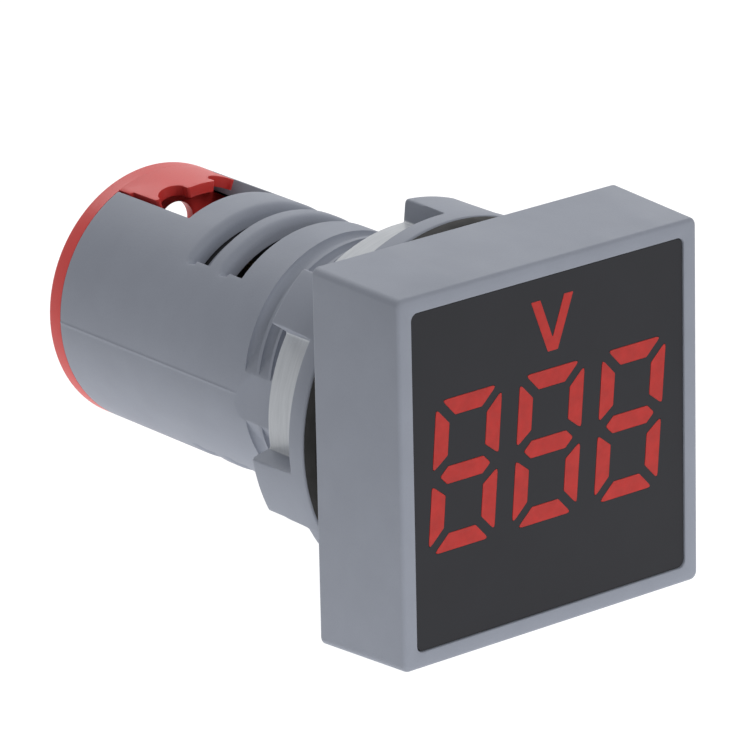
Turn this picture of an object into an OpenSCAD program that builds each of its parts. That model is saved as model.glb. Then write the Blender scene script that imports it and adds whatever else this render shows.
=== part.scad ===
// Digital panel meter with a square display head and a threaded round barrel.
// X points to the viewer's right when the display is read, Y points from the display to the
// terminals, and Z points up. The origin is on the barrel's axis, in the plane where the head
// meets the gasket. Lengths are in millimetres.

/* [Head] */
// Width of the bezel's front face
head_front_w = 30.1; // [29:0.1:32]
// How much wider the bezel is at its rear edge
head_draft = 0.7; // [0.3:0.05:1.2]
// Depth of the head from its front face to the gasket
head_depth = 9.9; // [9:0.1:14]
// Rounding of the bezel's outer edges
head_round = 0.5; // [0.2:0.05:0.8]
// Width of the grey border round the display face
border_w = 1.35; // [1:0.05:2]
// Thickness of the bezel's front lip behind the border
lip_thick = 1.2; // [0.8:0.1:1.6]
// How far the bezel's lip overlaps the flange of the display face
lip_overlap = 0.32; // [0.2:0.02:0.5]
// Corner radius of the display face
face_round = 0.6; // [0.3:0.1:1.5]
// How far the display face lies behind the bezel's front
face_recess = 0.15; // [0:0.05:0.4]
// Thickness of the flange round the display face
face_flange = 0.8; // [0.5:0.1:1.2]

/* [Digits] */
// Height of a digit
digit_h = 12.24; // [10:0.1:13]
// Width of a digit at right angles to its slant
digit_w = 6.54; // [5.5:0.1:7.2]
// Room between the outer digits and the sides of the display face
digit_margin = 1.55; // [1.2:0.05:1.8]
// Width of one segment bar
segment_w = 1.4; // [1:0.05:1.6]
// Mitre gap where two bars meet, measured along a bar
segment_gap = 0.58; // [0.3:0.02:0.8]
// Slant of the digits in degrees
digit_slant = 5; // [0:0.5:8]
// Sideways place of the middle digit
digit_shift = -0.22; // [-0.4:0.02:0.4]
// Room round each bar in its window
window_gap = 0.03; // [0.02:0.01:0.06]

/* [Display module and boards] */
// Room between the display module and the bezel's inner walls
module_room = 0.82; // [0.7:0.02:1.5]
// Depth of the display module
module_depth = 3.4; // [3:0.1:3.8]
// Wall of the display module
module_wall = 0.8; // [0.6:0.05:1.2]
// Room between the display board and the bezel's inner walls
board_room = 0.42; // [0.3:0.02:0.6]
// Thickness of both circuit boards
board_thick = 1.2; // [0.8:0.1:1.6]
// Diameter of the holes in the display board's corners
board_hole_d = 1.4; // [1:0.1:1.8]
// Length of the power board
power_board_len = 22.5; // [21:0.1:23]
// Height of the power board's middle below the axis
power_board_drop = 2.6; // [2:0.1:3]
// Room between the display board and the power board
power_board_room = 1.2; // [0.8:0.1:1.4]
// Diameter of the posts that press the display board
post_d = 2.4; // [2:0.1:2.8]

/* [Components] */
// Width of the driver package
chip_w = 7.6; // [6:0.1:9]
// Height of the driver package
chip_h = 5; // [4:0.1:6]
// Thickness of the driver package
chip_thick = 1.4; // [1:0.1:1.8]
// Distance from the axis to the driver package's middle
chip_raise = 4; // [3:0.1:5]
// Distance between the driver's legs
leg_pitch = 1.27; // [1:0.01:1.3]
// Width of one of the driver's legs
leg_w = 0.4; // [0.3:0.02:0.5]
// Number of pins in the header
header_pins = 4; // [3:1:5]
// Distance between the header's pins
header_pitch = 2.54; // [2:0.02:2.6]
// Width of a header pin
pin_w = 0.64; // [0.5:0.02:0.7]
// Length of a header pin
pin_len = 4.2; // [3.6:0.1:4.4]
// Length of the header's moulding
header_len = 2.5; // [2:0.1:2.8]
// Height of the header's moulding
header_h = 1.6; // [1.2:0.1:2.5]
// Distance from the power board's front edge to the rectifier
rectifier_place = 3.4; // [3.2:0.1:3.6]
// Width of the rectifier
rectifier_w = 4.8; // [4:0.1:5]
// Length of the rectifier
rectifier_len = 4; // [3.4:0.1:4.2]
// Height of the rectifier
rectifier_h = 2; // [1.6:0.1:2.4]
// Diameter of the filter capacitor
filter_cap_d = 6.2; // [5.6:0.1:6.4]
// Length of the filter capacitor
filter_cap_len = 11; // [9:0.1:12]
// Distance from the power board's front edge to the filter capacitor
filter_cap_place = 8; // [7.8:0.1:8.4]
// Distance from the axis to the filter capacitor's middle
filter_cap_aside = 3; // [2.9:0.05:3.2]
// Width of the film capacitor
film_cap_w = 5; // [4:0.1:5.2]
// Length of the film capacitor
film_cap_len = 10; // [9:0.1:10.2]
// Height of the film capacitor
film_cap_h = 7.5; // [6:0.1:7.6]
// Distance from the power board's front edge to the film capacitor
film_cap_place = 11; // [10.6:0.1:11.2]
// Distance from the axis to the film capacitor's nearer side
film_cap_aside = 1.2; // [1:0.1:1.3]
// Diameter of a resistor at its ends
resistor_d = 3; // [2.4:0.1:3.2]
// Length of a resistor
resistor_len = 9; // [7:0.1:9.4]
// Distance from the power board's front edge to the first resistor
resistor_place = 6; // [5:0.1:8]
// Distance between the resistors
resistor_pitch = 7; // [5:0.1:8]
// Diameter of the lead wires
wire_d = 0.7; // [0.5:0.05:0.8]
// Distance from the power board's rear edge to the lead wires' joints
wire_inset = 0.5; // [0.4:0.05:0.8]

/* [Barrel] */
// Outer diameter of the barrel
barrel_d = 21.6; // [21:0.1:22]
// Wall of the barrel
barrel_wall = 1.4; // [1.2:0.05:1.6]
// Length of the barrel behind the head
barrel_len = 38.9; // [38.4:0.1:42]
// Thickness of the barrel's square plate in the bezel
seat_plate = 1.8; // [1.4:0.1:2]
// How much the barrel's radius narrows along the thread, towards the head
barrel_draft = 0.04; // [0.02:0.01:0.06]
// Thickness of the ribs that hold the power board
rail_thick = 0.9; // [0.6:0.05:1.2]
// Height of the step inside the barrel that stops the terminal base
stop_h = 0.6; // [0.4:0.05:0.8]

/* [Thread] */
// Pitch of the thread
thread_pitch = 1.5; // [1.25:0.25:1.75]
// Number of starts of the thread
thread_starts = 2; // [1:1:3]
// Depth of the thread
thread_depth = 0.6; // [0.4:0.05:0.7]
// Distance from the head to the rear end of the thread
thread_end = 15.2; // [13:0.1:16]
// Distance across the flats at the sides of the thread
thread_flats = 21.2; // [21:0.05:21.5]
// Widening of the last groove to the rear, at the top and at the bottom
thread_fade = 0.55; // [0.3:0.05:0.8]

/* [Vent slots] */
// Width of a vent slot along the barrel
slot_w = 2.35; // [1.8:0.05:2.6]
// Distance between the two slots of a pair
slot_pitch = 4.15; // [3.6:0.05:4.4]
// Distance from the head to the middle of the front slot
slot_first = 20.25; // [19.6:0.05:20.6]
// Rounding of each slot's rear edge
slot_ease = 0.8; // [0.4:0.05:1]
// Half angle of a slot round the barrel in degrees
slot_half_angle = 42.7; // [30:0.5:50]

/* [Wire entries] */
// Length of a wire entry, up to the barrel's rear end
entry_len = 9.45; // [9:0.05:9.8]
// Half angle of a wire entry in degrees
entry_half_angle = 24.5; // [23:0.5:28]

/* [Gasket and ring nut] */
// Outer diameter of the gasket
gasket_d = 29.6; // [28:0.1:30.2]
// Thickness of the gasket
gasket_thick = 1.5; // [1:0.1:2]
// Diameter of the nut's flange and lugs
nut_d = 30.8; // [30:0.1:32]
// Diameter of the nut's collar between the lugs
collar_d = 27.1; // [26:0.1:28]
// Length of the nut
nut_len = 6.7; // [6:0.1:7.4]
// Thickness of the nut's flange
nut_flange = 1.85; // [1.4:0.05:2.4]
// Angle of one lug's middle from the top, towards the left, in degrees
lug_turn = 48; // [0:1:59]
// Width of a lug at its root
lug_root_w = 5.2; // [4:0.1:7]
// Width of a lug at its crown
lug_crown_w = 5; // [3.5:0.1:6]
// Radial room between the barrel and the nut or gasket
barrel_clearance = 0.08; // [0.05:0.01:0.1]
// Gap between the nut and the gasket
nut_gap = 0.05; // [0.02:0.01:0.1]

/* [Rear cover] */
// Thickness of the rear cover's rim
cover_rim = 1.64; // [1.2:0.02:2.2]
// Depth of the cover's spigot in the barrel
cover_spigot = 1.9; // [1.6:0.05:2.2]
// Thickness of the cover's web, which closes the spigot's front
cover_web = 1; // [0.8:0.05:1.3]
// Wall of the cover's spigot round the recess behind the web
cover_wall = 0.8; // [0.7:0.02:0.85]
// Thickness of the cover's arms
arm_thick = 0.9; // [0.7:0.05:1]
// Reach of an arm's wide part from the rim
arm_reach = 4.6; // [3.8:0.1:5]
// Reach of an arm's tongue from the rim
tongue_reach = 5.4; // [5.1:0.1:6.2]
// Width of an arm's tongue at its tip
tongue_w = 2.8; // [2:0.1:3.2]
// Half angle of an arm in degrees
arm_half_angle = 22; // [20:0.5:22.5]
// Length of each arm's slightly wider root
arm_root = 1.4; // [1:0.1:2]
// Diameter of the screwdriver holes
driver_hole_d = 3.54; // [3:0.02:4]
// Room between the cover and the barrel
cover_clearance = 0.15; // [0.1:0.01:0.2]
// Slant of each side of an arm's neck under the tongue's tip
neck_inset = 0.35; // [0.2:0.05:0.5]
// Length of the tongue's wide tip
tongue_tip = 0.9; // [0.6:0.1:1.3]

/* [Terminals] */
// Distance of each terminal screw from the barrel's axis
terminal_offset = 6.6; // [6.4:0.05:6.65]
// Diameter of a terminal screw
screw_d = 2.9; // [2.5:0.1:3]
// Diameter of a terminal screw's head
screw_head_d = 4.8; // [4.4:0.1:5]
// Height of a terminal screw's head
screw_head_h = 1.8; // [1.4:0.1:2]
// Length of a terminal screw under its head
screw_len = 5; // [4.6:0.1:5.4]
// Thickness of a terminal plate
terminal_thick = 0.8; // [0.6:0.05:1]
// Thickness of a wire clamp
clamp_thick = 0.8; // [0.6:0.05:1]
// Gap under a wire clamp at rest
clamp_gap = 0.5; // [0.3:0.05:0.8]
// Width of a terminal plate
terminal_w = 6; // [5.4:0.1:6.4]
// Width of a wire clamp
clamp_w = 5.6; // [5:0.1:6]
// Thickness of the lips at a clamp's sides
clamp_lip = 0.5; // [0.3:0.05:0.7]
// Thickness of the terminal base
base_thick = 4.4; // [4:0.1:4.8]
// Thickness of the fin between the terminals
fin_thick = 1.6; // [1.2:0.1:2]
// Thickness of a terminal's tail
tail_thick = 0.5; // [0.4:0.05:0.7]
// Width of a terminal's tail
tail_w = 0.9; // [0.7:0.05:1]
// How far a terminal's tail stands out of the base
tail_reach = 1.6; // [1:0.1:2]
// Distance from the terminals' tails to the left of the axis
tail_aside = 2.45; // [2.3:0.05:2.6]
// Distance from the axis to a terminal plate's lower edge
terminal_rise = 2.75; // [2.4:0.05:3]

/* [Hidden] */
$fn = 96;

barrel_r = barrel_d / 2;
thread_lead = thread_pitch * thread_starts;
bore_r = barrel_r - barrel_wall;
face_w = head_front_w - 2 * border_w;
cavity_w = face_w + 2 * lip_overlap;
cavity_front = -head_depth + lip_thick;
head_back_w = head_front_w + head_draft;
head_fit = 0.06;
digit_lean = digit_h * tan(digit_slant);
digit_pitch = (face_w - 2 * digit_margin - digit_w - digit_lean) / 2;
module_w = cavity_w - 2 * module_room;
face_front = -head_depth + face_recess;
face_back = cavity_front + face_flange;
module_front = face_back + 0.02;
module_back = module_front + module_depth;
display_board_back = module_back + board_thick;
cut = 1;
sliver = 0.01;

entry_front = barrel_len - entry_len;

// The base, plate, clamp and screw stack up rearwards in the barrel's end.
base_back = entry_front - 0.15;
base_front = base_back - base_thick;
plate_back = base_back + terminal_thick;
clamp_front = plate_back + clamp_gap;
head_front_y = clamp_front + clamp_thick + 0.02;
screw_clearance = 0.06;
tail_x = -tail_aside;
tail_z = terminal_offset;
power_z = -power_board_drop;
power_front = display_board_back + power_board_room;
power_top = power_z + board_thick / 2;
power_under = power_z - board_thick / 2;
rail_gap = 0.1;
rail_grip = 0.9;
power_half_w = sqrt(pow(bore_r, 2) - pow(power_board_drop + board_thick / 2, 2)) - 0.25;
nut_front = gasket_thick + nut_gap;
nut_bore_r = barrel_r + barrel_clearance;
cover_back = barrel_len + cover_rim;
disc_front = barrel_len - cover_spigot;
arm_tip = barrel_len - tongue_reach;
// Room at an arm's sides, as an angle.
arm_side_room = atan(cover_clearance / (barrel_r - arm_thick));

// ---- Shared shapes ----

// Extrudes a front view from one distance behind the head to another.
module slab(y0, y1) {
    translate([0, y1, 0]) rotate([90, 0, 0]) linear_extrude(y1 - y0) children();
}

// A round disc or plug on a line parallel to the barrel's axis.
module rod(y0, y1, r, x = 0, z = 0) {
    slab(y0, y1) translate([x, z]) circle(r);
}

// A ring round the barrel's axis.
module ring(y0, y1, r_out, r_in) {
    slab(y0, y1) difference() {
        circle(r_out);
        circle(r_in);
    }
}

// Turns a half outline, [radius, distance behind the head], round the barrel's axis.
module turned(outline, angle = 360) {
    rotate([-90, 0, 0]) rotate_extrude(angle = angle) polygon(outline);
}

// A flat sector from the axis outwards, centred on the top.
module sector(half_angle, reach = 20) {
    rim = [for (k = [-2:2]) reach * [sin(k * half_angle / 2), cos(k * half_angle / 2)]];
    polygon(concat([[0, 0]], rim));
}

// A square with rounded corners.
module soft_square(w, r) {
    offset(r) square(w - 2 * r, center = true);
}

// A square whose corners are exact arcs.
module arc_square(w, r) {
    difference() {
        square(w, center = true);
        for (a = [0:90:270])
            rotate(a) translate([w / 2 - r, w / 2 - r]) difference() {
                square(r + cut);
                circle(r, $fn = 32);
            }
    }
}

// Repeats its children at the top and at the bottom of the barrel.
module top_and_bottom() {
    for (a = [0, 180]) rotate([0, a, 0]) children();
}

// ---- Head ----

// Square cup with a slight draft, soft outer edges and a lip round the display face.
module bezel() color([0.52, 0.55, 0.59]) difference() {
    hull() {
        slab(-head_depth, -head_depth + sliver)
            soft_square(head_front_w - 2 * head_round, head_round, $fn = 24);
        slab(-head_depth + head_round, -head_depth + head_round + sliver)
            soft_square(head_front_w, 2 * head_round, $fn = 24);
        slab(-sliver, 0) soft_square(head_back_w, 2 * head_round, $fn = 24);
    }
    slab(-head_depth - cut, 0) arc_square(face_w, face_round);
    slab(cavity_front, cut) square(cavity_w, center = true);
}

// Dark display face with a window for every segment bar, held behind the bezel's lip.
module face_panel() color([0.2, 0.21, 0.23]) difference() {
    union() {
        slab(face_front, cavity_front + sliver) arc_square(face_w - 2 * head_fit, face_round);
        slab(cavity_front, face_back) square(cavity_w - 2 * head_fit, center = true);
    }
    for (k = [-1:1])
        slab(face_front - cut, face_back + cut)
            translate([digit_shift + k * digit_pitch, 0]) digit_outline(window_gap);
}

// The seven bars of one slanted digit, each grown by a margin on every side.
module digit_outline(margin = 0) {
    multmatrix([[1, tan(digit_slant), 0, 0], [0, 1, 0, 0], [0, 0, 1, 0], [0, 0, 0, 1]]) {
        for (m = [0, 1]) mirror([0, m]) end_bar(margin);
        for (mx = [0, 1], mz = [0, 1]) mirror([mx, 0]) mirror([0, mz]) side_bar(margin);
        middle_bar(margin);
    }
}

// Top or bottom bar, with mitred ends.
module end_bar(m) {
    w = digit_w / 2 - segment_gap;
    h = digit_h / 2;
    t = segment_w;
    polygon([[-w - m, h + m], [w + m, h + m], [w - t - m * 0.4, h - t - m], [t - w + m * 0.4, h - t - m]]);
}

// One of the four upright bars: the upper right one.
module side_bar(m) {
    w = digit_w / 2;
    h = digit_h / 2 - segment_gap;
    t = segment_w;
    low = segment_gap;
    polygon([[w + m, h + m], [w - t - m, h - t - m * 0.4], [w - t - m, low + 0.75 * t - m * 0.3],
             [w + m, low - m]]);
}

// Middle bar, pointed at both ends.
module middle_bar(m) {
    tip = digit_w / 2 - segment_w / 2 - 0.08;
    flat = digit_w / 2 - segment_w - 0.12;
    t = segment_w / 2;
    polygon([[-tip - m * 1.4, 0], [-flat, t + m], [flat, t + m], [tip + m * 1.4, 0], [flat, -t - m],
             [-flat, -t - m]]);
}

// One digit's bars, which fill the windows of the face and end at the display module.
module digit(place) color([0.75, 0.22, 0.2])
    slab(face_front - 0.02, face_back) translate([digit_shift + place * digit_pitch, 0]) digit_outline();
module digit_left() digit(-1);
module digit_middle() digit(0);
module digit_right() digit(1);

// Moulded block behind the bars, with one light well for each bar and a skirt round its edge.
module display_module() color([0.9, 0.9, 0.88]) difference() {
    slab(module_front, module_back) square(module_w, center = true);
    slab(module_front + module_wall, module_back + cut) difference() {
        square(module_w - 2 * module_wall, center = true);
        for (k = [-0.5, 0.5])
            translate([k * digit_pitch, 0]) square([module_wall, module_w], center = true);
        square([module_w, module_wall], center = true);
    }
}

// Square board that carries the display module.
module display_board() color([0.1, 0.36, 0.2]) difference() {
    board_w = cavity_w - 2 * board_room;
    place = board_w / 2 - board_hole_d / 2 - 0.3;
    slab(module_back, display_board_back) square(board_w, center = true);
    for (x = [-place, place], z = [-place, place])
        rod(module_back - cut, display_board_back + cut, board_hole_d / 2, x, z);
}

// Flat driver package with its rows of legs on the rear of the display board.
module driver_chip() color([0.12, 0.12, 0.13]) {
    legs = 6;
    standoff = 0.1;
    foot = 1.1;
    slab(display_board_back + standoff, display_board_back + standoff + chip_thick)
        translate([-chip_w / 2, chip_raise - chip_h / 2]) square([chip_w, chip_h]);
    for (k = [0:legs - 1], side = [0, 1])
        translate([0, 0, chip_raise]) mirror([0, 0, side])
            translate([(k - (legs - 1) / 2) * leg_pitch - leg_w / 2, display_board_back, chip_h / 2])
                cube([leg_w, 0.5, foot]);
}

// Row of bent pins that carries the power board's front edge.
module board_header() color([0.85, 0.7, 0.3]) {
    for (k = [0:header_pins - 1]) {
        x = (k - (header_pins - 1) / 2) * header_pitch;
        translate([x - pin_w / 2, display_board_back, power_top]) cube([pin_w, pin_len, pin_w]);
    }
    translate([-header_pins * header_pitch / 2, display_board_back, power_top + pin_w])
        cube([header_pins * header_pitch, header_len, header_h]);
}

// ---- Barrel and what it holds ----

// Long board that slides between the rails inside the barrel.
module power_board() color([0.1, 0.36, 0.2])
    translate([-power_half_w, power_front, power_under])
        cube([2 * power_half_w, power_board_len, board_thick]);

// Boxed film capacitor at the rear of the board's upper side.
module film_capacitor() color([0.72, 0.3, 0.14]) {
    soft = 0.5;
    translate([-film_cap_aside - film_cap_w, power_front + film_cap_place, power_top]) hull() {
        cube([film_cap_w, film_cap_len, film_cap_h - soft]);
        translate([soft, soft, 0]) cube([film_cap_w - 2 * soft, film_cap_len - 2 * soft, film_cap_h]);
    }
}

// Round filter capacitor lying on the board, with the crimp groove near its end.
module filter_capacitor() color([0.14, 0.15, 0.17]) {
    r = filter_cap_d / 2;
    soft = 0.3;
    crimp = 1.5;
    y0 = power_front + filter_cap_place;
    y1 = y0 + filter_cap_len;
    translate([filter_cap_aside, 0, power_top + r])
        turned([[0, y0], [r - soft, y0], [r, y0 + soft], [r, y0 + crimp - soft], [r - soft, y0 + crimp],
                [r, y0 + crimp + soft], [r, y1 - soft], [r - soft, y1], [0, y1]]);
}

// Flat rectifier package behind the header.
module bridge_rectifier() color([0.1, 0.1, 0.11]) {
    slant = 0.3;
    translate([-rectifier_w / 2, power_front + rectifier_place, power_top]) hull() {
        cube([rectifier_w, rectifier_len, rectifier_h * 0.6]);
        translate([slant, slant, 0])
            cube([rectifier_w - 2 * slant, rectifier_len - 2 * slant, rectifier_h]);
    }
}

// Two barrel-shaped resistors across the underside of the board.
module dropper_resistors() color([0.35, 0.5, 0.62]) {
    r = resistor_d / 2;
    half = resistor_len / 2;
    waist = r - 0.25;
    bell = half - 1.7;
    for (k = [0, 1])
        translate([0, power_front + resistor_place + k * resistor_pitch, power_under - r])
            rotate([0, 90, 0]) rotate_extrude($fn = 48)
                polygon([[0, -half], [r, -half], [r, -bell], [waist, 0.4 - bell], [waist, bell - 0.4],
                         [r, bell], [r, half], [0, half]]);
}

// Threaded housing: a square plate that seats in the bezel and a tube behind it.
module barrel() color([0.52, 0.54, 0.58]) {
    difference() {
        union() {
            slab(-seat_plate, 0) square(cavity_w - 2 * head_fit, center = true);
            turned([[0, -sliver], [barrel_r - barrel_draft, -sliver], [barrel_r, thread_end + 1],
                    [barrel_r, barrel_len], [0, barrel_len]]);
            board_posts();
        }
        difference() {
            rod(-seat_plate - cut, barrel_len + cut, bore_r);
            board_rails();
            base_stop();
        }
        thread_grooves();
        thread_side_flats();
        top_and_bottom() {
            for (k = [0, 1]) vent_slot(slot_first + k * slot_pitch);
            slab(entry_front, barrel_len + cut) sector(entry_half_angle);
        }
    }
}

// Four posts that press the display board and its module against the face.
module board_posts() {
    place = module_w / 2 - post_d / 2 - 0.1;
    for (x = [-place, place], z = [-place, place])
        rod(display_board_back + 0.03, -seat_plate + sliver, post_d / 2, x, z);
}

// Two pairs of ribs that hold the edges of the power board.
module board_rails() {
    for (side = [0, 1], up = [0, 1])
        mirror([side, 0, 0]) translate([0, 0, power_z]) mirror([0, 0, up])
            translate([power_half_w - rail_grip, 0.5, board_thick / 2 + rail_gap])
                cube([3, power_front + power_board_len - 0.5, rail_thick]);
}

// Short step inside the tube against which the terminal base rests.
module base_stop() {
    ring(base_front - 1.2, base_front - 0.05, bore_r + cut, bore_r - stop_h);
}

// Slot across the top of the tube, square at its ends and rounded along its rear edge.
module vent_slot(y_mid) {
    y0 = y_mid - slot_w / 2;
    y1 = y0 + slot_w;
    rounding = [for (a = [0:30:90])
        [barrel_r + sliver - slot_ease * (1 - cos(a)), y1 + slot_ease * (1 - sin(a))]];
    intersection() {
        slab(y0, y1 + slot_ease) sector(slot_half_angle);
        turned(concat([[bore_r - cut, y0], [barrel_r + cut, y0], [barrel_r + cut, y1 + slot_ease]],
                      rounding, [[bore_r - cut, y1]]));
    }
}

// Grooves of a right-hand thread in the upper and the lower half of the tube. Each groove is a
// turned ring leaned by the thread's lead angle, and the last one widens to the rear.
module thread_grooves() {
    lead_angle = atan(thread_lead / (PI * barrel_d));
    turns = floor((thread_end - 1.2) / thread_pitch);
    top_and_bottom() intersection() {
        slab(0.6, thread_end + 2.5) thread_window();
        union() {
            for (k = [0:turns - 1])
                translate([0, thread_end - k * thread_pitch, 0]) rotate([0, 0, lead_angle]) groove();
            translate([0, thread_end, 0]) rotate([0, 0, 1.5 * lead_angle]) run_out();
        }
    }
}

// Front view of the space that the grooves may cut. Each floor leaves its root circle along a
// tangent and meets the flat at the side of the thread.
module thread_window() {
    reach = 2 * barrel_r;
    root = barrel_r - thread_depth;
    end_angle = asin(thread_flats / barrel_d);
    leave_angle = end_angle - acos(root / barrel_r);
    leave = root * [sin(leave_angle), cos(leave_angle)];
    far = leave + reach * [cos(leave_angle), -sin(leave_angle)];
    mirrored = [[-far[0], far[1]], [-leave[0], leave[1]]];
    polygon(concat([[0, 0], leave, far, [far[0], reach], [-far[0], reach]], mirrored));
}

// One groove with sloping flanks, whose rear edge at the surface lies at the origin.
module groove() {
    root = barrel_r - thread_depth;
    flank = thread_depth * 0.55;
    open = thread_pitch * 0.8;
    turned([[root, -flank], [root, flank - open], [barrel_r + 0.1, -open - 0.05], [barrel_r + 0.1, 0.05]]);
}

// Slope from the last groove's flank up to the tube's surface.
module run_out() {
    turned([[barrel_r - thread_depth * 0.9, -0.5], [barrel_r + 0.1, -0.5],
            [barrel_r + 0.1, thread_fade + 0.1], [barrel_r, thread_fade]]);
}

// Flats at both sides of the thread, each with a sloping rear end.
module thread_side_flats() {
    for (side = [0, 1]) mirror([side, 0, 0])
        translate([0, 0, -8]) linear_extrude(16)
            polygon([[thread_flats / 2, 0.4], [barrel_r + 1, 0.4], [barrel_r + 1, thread_end + 1.6],
                     [barrel_r, thread_end + 0.6], [thread_flats / 2, thread_end - 0.6]]);
}

// Rubber ring between the head and the panel.
module gasket() color([0.07, 0.07, 0.07])
    ring(0, gasket_thick, gasket_d / 2, barrel_r + barrel_clearance);

// Ring nut with a flange and six lugs that stand flush with it.
module ring_nut() color([0.5, 0.53, 0.58]) difference() {
    edge = 0.3;
    fillet = 0.2;
    r = nut_d / 2;
    collar = collar_d / 2;
    step = nut_front + nut_flange;
    back = nut_front + nut_len;
    intersection() {
        turned([[barrel_r - 2, nut_front], [r - edge, nut_front], [r, nut_front + edge],
                [r, back - edge], [r - edge, back], [barrel_r - 2, back]]);
        union() {
            turned([[barrel_r - 2, nut_front], [r + cut, nut_front], [r + cut, step],
                    [collar + fillet, step], [collar, step + fillet], [collar, back - edge],
                    [collar - edge, back], [barrel_r - 2, back]]);
            for (k = [0:5]) slab(nut_front, back) rotate(lug_turn + 60 * k) lug_outline();
        }
    }
    mouth = nut_bore_r + edge + cut;
    turned([[0, nut_front - cut], [mouth, nut_front - cut], [nut_bore_r, nut_front + edge],
            [nut_bore_r, back - edge], [mouth, back + cut], [0, back + cut]]);
}

// Outline of one lug, narrowing outwards.
module lug_outline() {
    polygon([[-lug_root_w / 2, collar_d / 2 - 1], [-lug_crown_w / 2, nut_d / 2 + 0.3],
             [lug_crown_w / 2, nut_d / 2 + 0.3], [lug_root_w / 2, collar_d / 2 - 1]]);
}

// ---- Rear end ----

// Clip-in cover: a rim, a sunken web with screwdriver holes, and an arm over each wire entry.
module rear_cover() color([0.78, 0.28, 0.28]) difference() {
    union() {
        rod(barrel_len, cover_back, barrel_r);
        rod(disc_front, barrel_len + sliver, bore_r - cover_clearance);
        top_and_bottom() intersection() {
            arm_shell();
            cover_arm();
            slab(arm_tip, barrel_len + sliver) sector(entry_half_angle - arm_side_room);
        }
    }
    rod(disc_front + cover_web, cover_back + cut, bore_r - cover_clearance - cover_wall);
    for (side = [-1, 1])
        rod(disc_front - cut, cover_back + cut, driver_hole_d / 2, 0, side * terminal_offset);
}

// Curved shell that the arms are cut from, a little thinner towards the tongues' tips.
module arm_shell() {
    inner = barrel_r - arm_thick;
    turned([[inner, arm_tip], [barrel_r - barrel_draft, arm_tip], [barrel_r, barrel_len + sliver],
            [inner, barrel_len + sliver]]);
}

// Plan of one arm, seen from above: a wide part with two scooped corners and a narrow tongue.
module cover_arm() {
    w = barrel_r * sin(arm_half_angle);
    root_w = barrel_r * sin(entry_half_angle);
    y_wide = barrel_len - arm_reach;
    neck = tongue_w / 2 - neck_inset;
    scoop = (w - neck) / 2;
    linear_extrude(barrel_r + cut) difference() {
        union() {
            translate([-root_w, barrel_len - arm_root]) square([2 * root_w, arm_root + sliver]);
            translate([-w, y_wide]) square([2 * w, arm_reach]);
            translate([-neck, arm_tip]) square([2 * neck, tongue_reach]);
            translate([-tongue_w / 2, arm_tip]) square([tongue_w, tongue_tip]);
        }
        for (side = [-1, 1]) translate([side * (neck + scoop), y_wide - 0.35]) circle(scoop - 0.25);
    }
}

// Moulded carrier for both terminals, with a fin that keeps the two apart.
module terminal_base() color([0.85, 0.83, 0.78]) difference() {
    union() {
        rod(base_front, base_back, bore_r - 0.08);
        intersection() {
            translate([-bore_r, base_back - sliver, -fin_thick / 2])
                cube([2 * bore_r, disc_front - 0.3 - base_back, fin_thick]);
            rod(base_back - cut, disc_front, bore_r - 0.3);
        }
    }
    for (side = [-1, 1]) {
        rod(base_front + 0.6, base_back + cut, screw_d / 2 + 0.12, 0, side * terminal_offset);
        translate([tail_x - tail_w / 2 - 0.2, base_front - cut, side * tail_z - tail_thick / 2 - 0.25])
            cube([tail_w + 0.4, base_thick + 2 * cut, tail_thick + 0.5]);
    }
}

// Plate that the upper terminal's clamp presses on, with a tail through the base.
module terminal() {
    difference() {
        union() {
            intersection() {
                translate([-terminal_w / 2, base_back, terminal_rise])
                    cube([terminal_w, terminal_thick, bore_r]);
                rod(base_back, plate_back, bore_r - 0.4);
            }
            translate([tail_x - tail_w / 2, base_front - tail_reach, tail_z - tail_thick / 2])
                cube([tail_w, tail_reach + base_thick + 0.1, tail_thick]);
        }
        rod(base_back - cut, plate_back + cut, screw_d / 2 + screw_clearance, 0, terminal_offset);
    }
}
module upper_terminal() color([0.8, 0.68, 0.35]) terminal();
module lower_terminal() color([0.8, 0.68, 0.35]) mirror([0, 0, 1]) terminal();

// Square clamp under a screw's head, with a short lip down each side.
module clamp() {
    h = 5;
    lip_h = 0.3;
    clamp_back = clamp_front + clamp_thick;
    difference() {
        intersection() {
            translate([0, 0, terminal_offset - h / 2]) {
                translate([-clamp_w / 2, clamp_front, 0]) cube([clamp_w, clamp_thick, h]);
                for (side = [0, 1]) mirror([side, 0, 0])
                    translate([clamp_w / 2 - clamp_lip, clamp_front - lip_h, 0])
                        cube([clamp_lip, lip_h + 0.1, h]);
            }
            rod(clamp_front - cut, clamp_back, bore_r - 0.4);
        }
        rod(clamp_front - cut, clamp_back + cut, screw_d / 2 + screw_clearance, 0, terminal_offset);
    }
}
module upper_clamp() color([0.75, 0.76, 0.78]) clamp();
module lower_clamp() color([0.75, 0.76, 0.78]) mirror([0, 0, 1]) clamp();

// Cheese-head screw with a cross recess, driven from behind the meter.
module screw() {
    r = screw_head_d / 2;
    shank = screw_d / 2;
    tip = head_front_y - screw_len;
    top = head_front_y + screw_head_h;
    soft = 0.4;
    cross_w = screw_head_d * 0.6;
    cross_depth = 1;
    cross_slot = 0.6;
    translate([0, 0, terminal_offset]) difference() {
        turned([[0, tip], [shank - soft, tip], [shank, tip + soft], [shank, head_front_y],
                [r, head_front_y], [r, top - soft], [r - soft, top], [0, top]]);
        for (a = [45, 135]) rotate([0, a, 0])
            translate([-cross_w / 2, top - cross_depth, -cross_slot / 2])
                cube([cross_w, cross_depth + cut, cross_slot]);
    }
}
module upper_screw() color([0.78, 0.79, 0.8]) screw();
module lower_screw() color([0.78, 0.79, 0.8]) mirror([0, 0, 1]) screw();

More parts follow.
